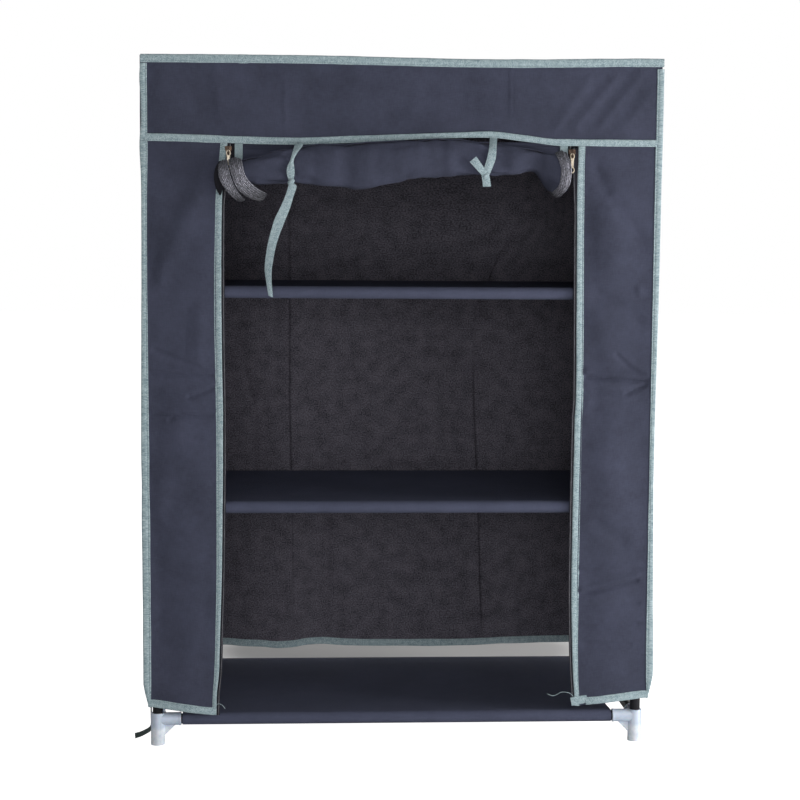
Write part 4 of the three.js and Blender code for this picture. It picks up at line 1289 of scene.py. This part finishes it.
def ribbon(name, left, right, steps, columns, relief, thickness, material):
    """A strip of cloth between two edges, both from top to bottom, with relief across its width."""
    lefts, rights = evenly(left, steps), evenly(right, steps)
    rows = []
    for k in range(steps, -1, -1):
        a, b = lefts[k], rights[k]
        before, after = lefts[max(k - 1, 0)], lefts[min(k + 1, steps)]
        out = (b - a).cross(before - after).normalized()
        rows.append([at(*(a.lerp(b, s) + out * relief(s, k / steps))) for s in spaced(columns)])
    return sheet_of(name, rows, thickness * mm, material)


curls = {
    "curl_left_outer": (
        [(-209.6, -168, 674), (-209.9, -172, 671), (-209.2, -176, 666.7), (-208.4, -178.5, 660.3),
         (-205.4, -179, 653.2), (-202.7, -178, 648.8), (-198, -174, 642.4), (-193.5, -169, 638.2),
         (-189.5, -163, 635.6)],
        [(-198.9, -168.5, 680.3), (-198.7, -172.5, 677), (-197.4, -176, 672.4), (-195.7, -178, 666.1),
         (-193.3, -178.5, 657.8), (-190, -177.5, 650.4), (-185.8, -174.5, 643.6), (-182.2, -169.5, 639),
         (-179.2, -163.5, 636.4)]),
    "curl_left_inner": (
        [(-198.2, -171, 680.3), (-198, -175, 677.2), (-196.7, -179, 672.4), (-195, -181, 666.1),
         (-192.6, -181.5, 657.8), (-189.3, -180.5, 650.4), (-183.5, -177.5, 643.2), (-174, -173.5, 637.4),
         (-163, -167.5, 634)],
        [(-183.5, -171, 681), (-182.6, -175, 678.6), (-181.2, -179.5, 672.5), (-179.4, -181.5, 664.8),
         (-176, -182, 658.5), (-171.5, -181, 653.5), (-165, -178, 648.4), (-159, -173.5, 645.2),
         (-154, -168, 643)]),
    "curl_right": (
        [(173.6, -166, 691), (174.6, -171, 689), (178, -178, 678.3), (179, -181, 669.8),
         (176.6, -181, 655.1), (169.5, -174, 647), (167.5, -164, 649)],
        [(187.2, -166, 691.5), (187.8, -171, 689.5), (190.6, -178, 678.9), (191.3, -181, 669.9),
         (188.6, -181, 654), (179.5, -173, 642.4), (177, -163, 645)]),
}
for name, (left, right) in curls.items():
    width = (Vector(right[3]) - Vector(left[3])).length
    ribs = max(round(width / rib_pitch), 1)
    curl = ribbon(
        name, left, right, 60, ribs * 6,
        lambda s, t: abs(arch(ribs * s)) + 2.4 * arch(s) + 0.5 * ripple(40 * s, 60 * t, 9, ribs),
        0.9, ribbed_tape,
    )
    # The ribs stay whole where the tape narrows, and each curl is as long as the next to the pattern
    uvs = curl.data.uv_layers[0].data
    longest = max(uv.uv.y for uv in uvs)
    for uv in uvs:
        uv.uv = (uv.uv.x / (width * mm) * ribs * rib_pitch * mm, uv.uv.y / longest * curl_length)
    fasten(curl, "door")
    squeezed(curl)

# On the left a fold of the black zip tape shows beside the curls: a dark sheet put where the curls cast
# their shadow, partly the tape and partly painted shadow
tape_fold_in_shadow = ribbon(
    "door_tape_fold_in_shadow",
    [(-209, -157.8, 679), (-212.8, -158.8, 672.5), (-214.6, -159.8, 664), (-214.2, -159.8, 655),
     (-212, -159.4, 647), (-208.6, -158.8, 641)],
    [(-206, -160, 679), (-204.5, -161.5, 672), (-203.5, -162, 663), (-203.8, -161.4, 654),
     (-205.2, -160.2, 646.4), (-207.2, -158.9, 640.6)],
    40, 8, lambda s, t: 0.9 * arch(s) + 0.4 * ripple(30 * s, 60 * t, 12, 5), 0.5, zip_black,
)
fasten(tape_fold_in_shadow, "door")
squeezed(tape_fold_in_shadow)


# The ties: two lengths of the same grey-green tape, sewn into the seam, passed round the roll and
# knotted low on its front. The left one keeps a long tail; the right one's two ends are short.
def on_roll(x, z):
    """In front of the roll, or of the seam above it."""
    y, centre, half_thick, half_high = roll_section(x)
    turn_over = centre + half_high - 2
    if z <= turn_over:
        return roll_front(x, z) - 1.4
    seam_front = valance_face - between(seam_bulge, x) - 0.5
    lean = limited((z - turn_over) / 9)
    return (roll_front(x, turn_over) - 1.2) * (1 - lean) + seam_front * lean


def tie_part(name, left, right, steps, relief=0.3, node=None):
    """A length of tie between two edges. The one that stands for a tie of the frame lies on the roll."""
    if node:
        pairs = list(zip(left, right))
        left = [(x, on_roll((x + u) / 2, z), z) for (x, z), (u, v) in pairs]
        right = [(u, on_roll((x + u) / 2, v), v) for (x, z), (u, v) in pairs]
    made = ribbon(
        name, left, right, steps, 8,
        lambda s, t: relief * arch(s) + 0.15 * ripple(s * 9, t * 50, 6, len(name)), 0.7, binding,
    )
    fasten(made, "rack", node)
    squeezed(made)


tie_part(
    "tie_left_front",
    [(-122.6, 701), (-123.6, 697.5), (-125.8, 689.7), (-128.3, 680.9), (-131.8, 672.8), (-132.3, 666.1),
     (-130.4, 658.8), (-129, 655.5)],
    [(-113.2, 701), (-114.2, 697.5), (-119.6, 689.8), (-124.3, 681), (-123.8, 672.9), (-123.4, 666.2),
     (-124.6, 658.3), (-125.4, 655.5)],
    40, 0.6, "door_tie_left",
)
tie_part(
    "tie_left_tail",
    [(-130.2, -172, 657.5), (-130, -175.5, 654), (-130.6, -176.5, 650.8), (-133.5, -176, 641.2),
     (-139.8, -175.5, 626.5), (-146.4, -175, 612.4), (-153.5, -174.5, 586.5), (-157.1, -174, 560.6),
     (-155.5, -174, 544.1), (-152.8, -174.5, 527.4)],
    [(-125.4, -172, 657.5), (-123.6, -175.5, 654), (-121.1, -176, 650.9), (-124.1, -175.5, 641.3),
     (-128.5, -174.5, 626.6), (-134.1, -174, 612.5), (-143.5, -175, 586.6), (-148.5, -175.5, 560.7),
     (-149.2, -175.5, 544.2), (-147.7, -174.5, 525.5)],
    90, 0.25,
)
tie_part(
    "tie_right_front",
    [(99.2, 711), (99.1, 707.3), (97.3, 696.1), (95, 684.8), (91.8, 673.6), (90.1, 666), (89.6, 664)],
    [(108, 711), (107.6, 707.4), (105.9, 696.2), (105, 684.9), (101.3, 673.7), (98.5, 666.1), (97.8, 664)],
    40, 0.5, "door_tie_right",
)
tie_part(
    "tie_right_tail_down",
    [(89.4, -172.5, 667), (89.2, -174.5, 664.1), (90.7, -174.5, 652.4)],
    [(97.4, -172.5, 667), (98.1, -174.5, 664.2), (99.9, -174.5, 652.9)],
    16,
)
tie_part(
    "tie_right_tail_up",
    [(74.8, -177.5, 680.3), (82.2, -177.5, 672.5), (89.6, -175.5, 664.9)],
    [(82.3, -178, 686.5), (87.3, -178, 679.6), (94.9, -176, 669)],
    20,
)
knot_wide, knot_deep, knot_high, knot_cloth = 3.3, 2.4, 5.4, 0.7 * mm
for name, (x, y, z) in {"left": (-127.4, -173.6, 656.2), "right": (93.8, -173.6, 665.2)}.items():
    rows = []
    for r in spaced(8):
        swell = 0.75 + 0.5 * arch(r)
        rows.append([
            at(x + knot_wide * swell * math.cos(a), y + knot_deep * swell * math.sin(a),
               z + knot_high * (r - 0.5) + 1.1 * math.cos(a))
            for a in spaced(28, 0, 2 * math.pi)
        ])
    knot = sheet_of(f"knot_{name}", rows, knot_cloth, binding)
    worked(knot, bpy.ops.mesh.remove_doubles, threshold=0.00001)
    fasten(knot, "rack")
    squeezed(knot)

# The short tie at the left side's hem, of the grey-green tape painted darker as the shade it hangs in, with a
# pale line along its middle
shaded_tie_tape = woven_finish(
    "shaded_tie_tape", (44, 54, 52), (70, 82, 80), threads=900, slubs=500, contrast=1.4, bump=0.00012,
    gloss=(0.7, 0.9), Specular_IOR_Level=0.25,
)
near = [
    (-291.3, -121, 57), (-291.3, -121, 44), (-291.2, -121, 30), (-291, -121.5, 20),
    (-292.2, -124, 16.6), (-297, -126, 14), (-303, -127.8, 11.7), (-310, -128, 9.9),
]
far = [
    (-291.3, -115, 57), (-291.3, -115, 44), (-291.2, -115.5, 28), (-291, -117.5, 16.5),
    (-291.6, -121.5, 10.8), (-296, -125, 8.3), (-302.6, -127.2, 5.4), (-309.6, -127.8, 3.2),
]
hem_tie = ribbon(
    "hem_tie", near, far, 60, 8,
    lambda s, t: 0.3 * arch(s) + 0.45 * bell((s - 0.5) / 0.09), 0.7, shaded_tie_tape,
)
fasten(hem_tie, "rack", "hem_tie_left")


# The lights: a large soft box in front, one above it, a small low one and one at the right that
# brings out the folds, two behind for the sides and the back, and the even light of a white room.
lamps = {
    "front_light": ((-0.25, -3.2, 0.36), 1.6, 38), "upper_light": ((0.4, -2.0, 1.5), 1.2, 4.5),
    "low_light": ((0.78, -0.98, 0.32), 0.5, 2.2), "right_light": ((1.7, -0.75, 0.3), 0.6, 25),
    "back_light_left": ((-2.0, 2.2, 1.1), 1.4, 18), "back_light_right": ((2.0, 2.2, 1.1), 1.4, 18),
}
lit_place = Vector((0, 0, 0.42))
alone()
for name, (place, size, power) in lamps.items():
    bpy.ops.object.light_add(type="AREA", location=place)
    lamp = bpy.context.object
    lamp.name = name
    lamp.data.shape, lamp.data.size, lamp.data.energy = "SQUARE", size, power
    lamp.visible_camera = False
    lamp.rotation_euler = (lit_place - Vector(place)).to_track_quat("-Z", "Y").to_euler()
world = bpy.data.worlds.new("white_room")
bpy.context.scene.world = world
world.use_nodes = True
sky = world.node_tree
sky_light = sky.nodes["Background"]
sky_light.inputs["Color"].default_value = (1, 1, 1, 1)
seen = add(sky, "LightPath").outputs
seen_or_mirrored = reckon(sky, "MAXIMUM", seen["Is Camera Ray"], seen["Is Glossy Ray"])
any_sight = reckon(sky, "MAXIMUM", seen_or_mirrored, seen["Is Transmission Ray"])
strength = out_of(sky, "MapRange", {"Value": any_sight, "To Min": 0.1, "To Max": 1.0})
sky.links.new(strength, sky_light.inputs["Strength"])
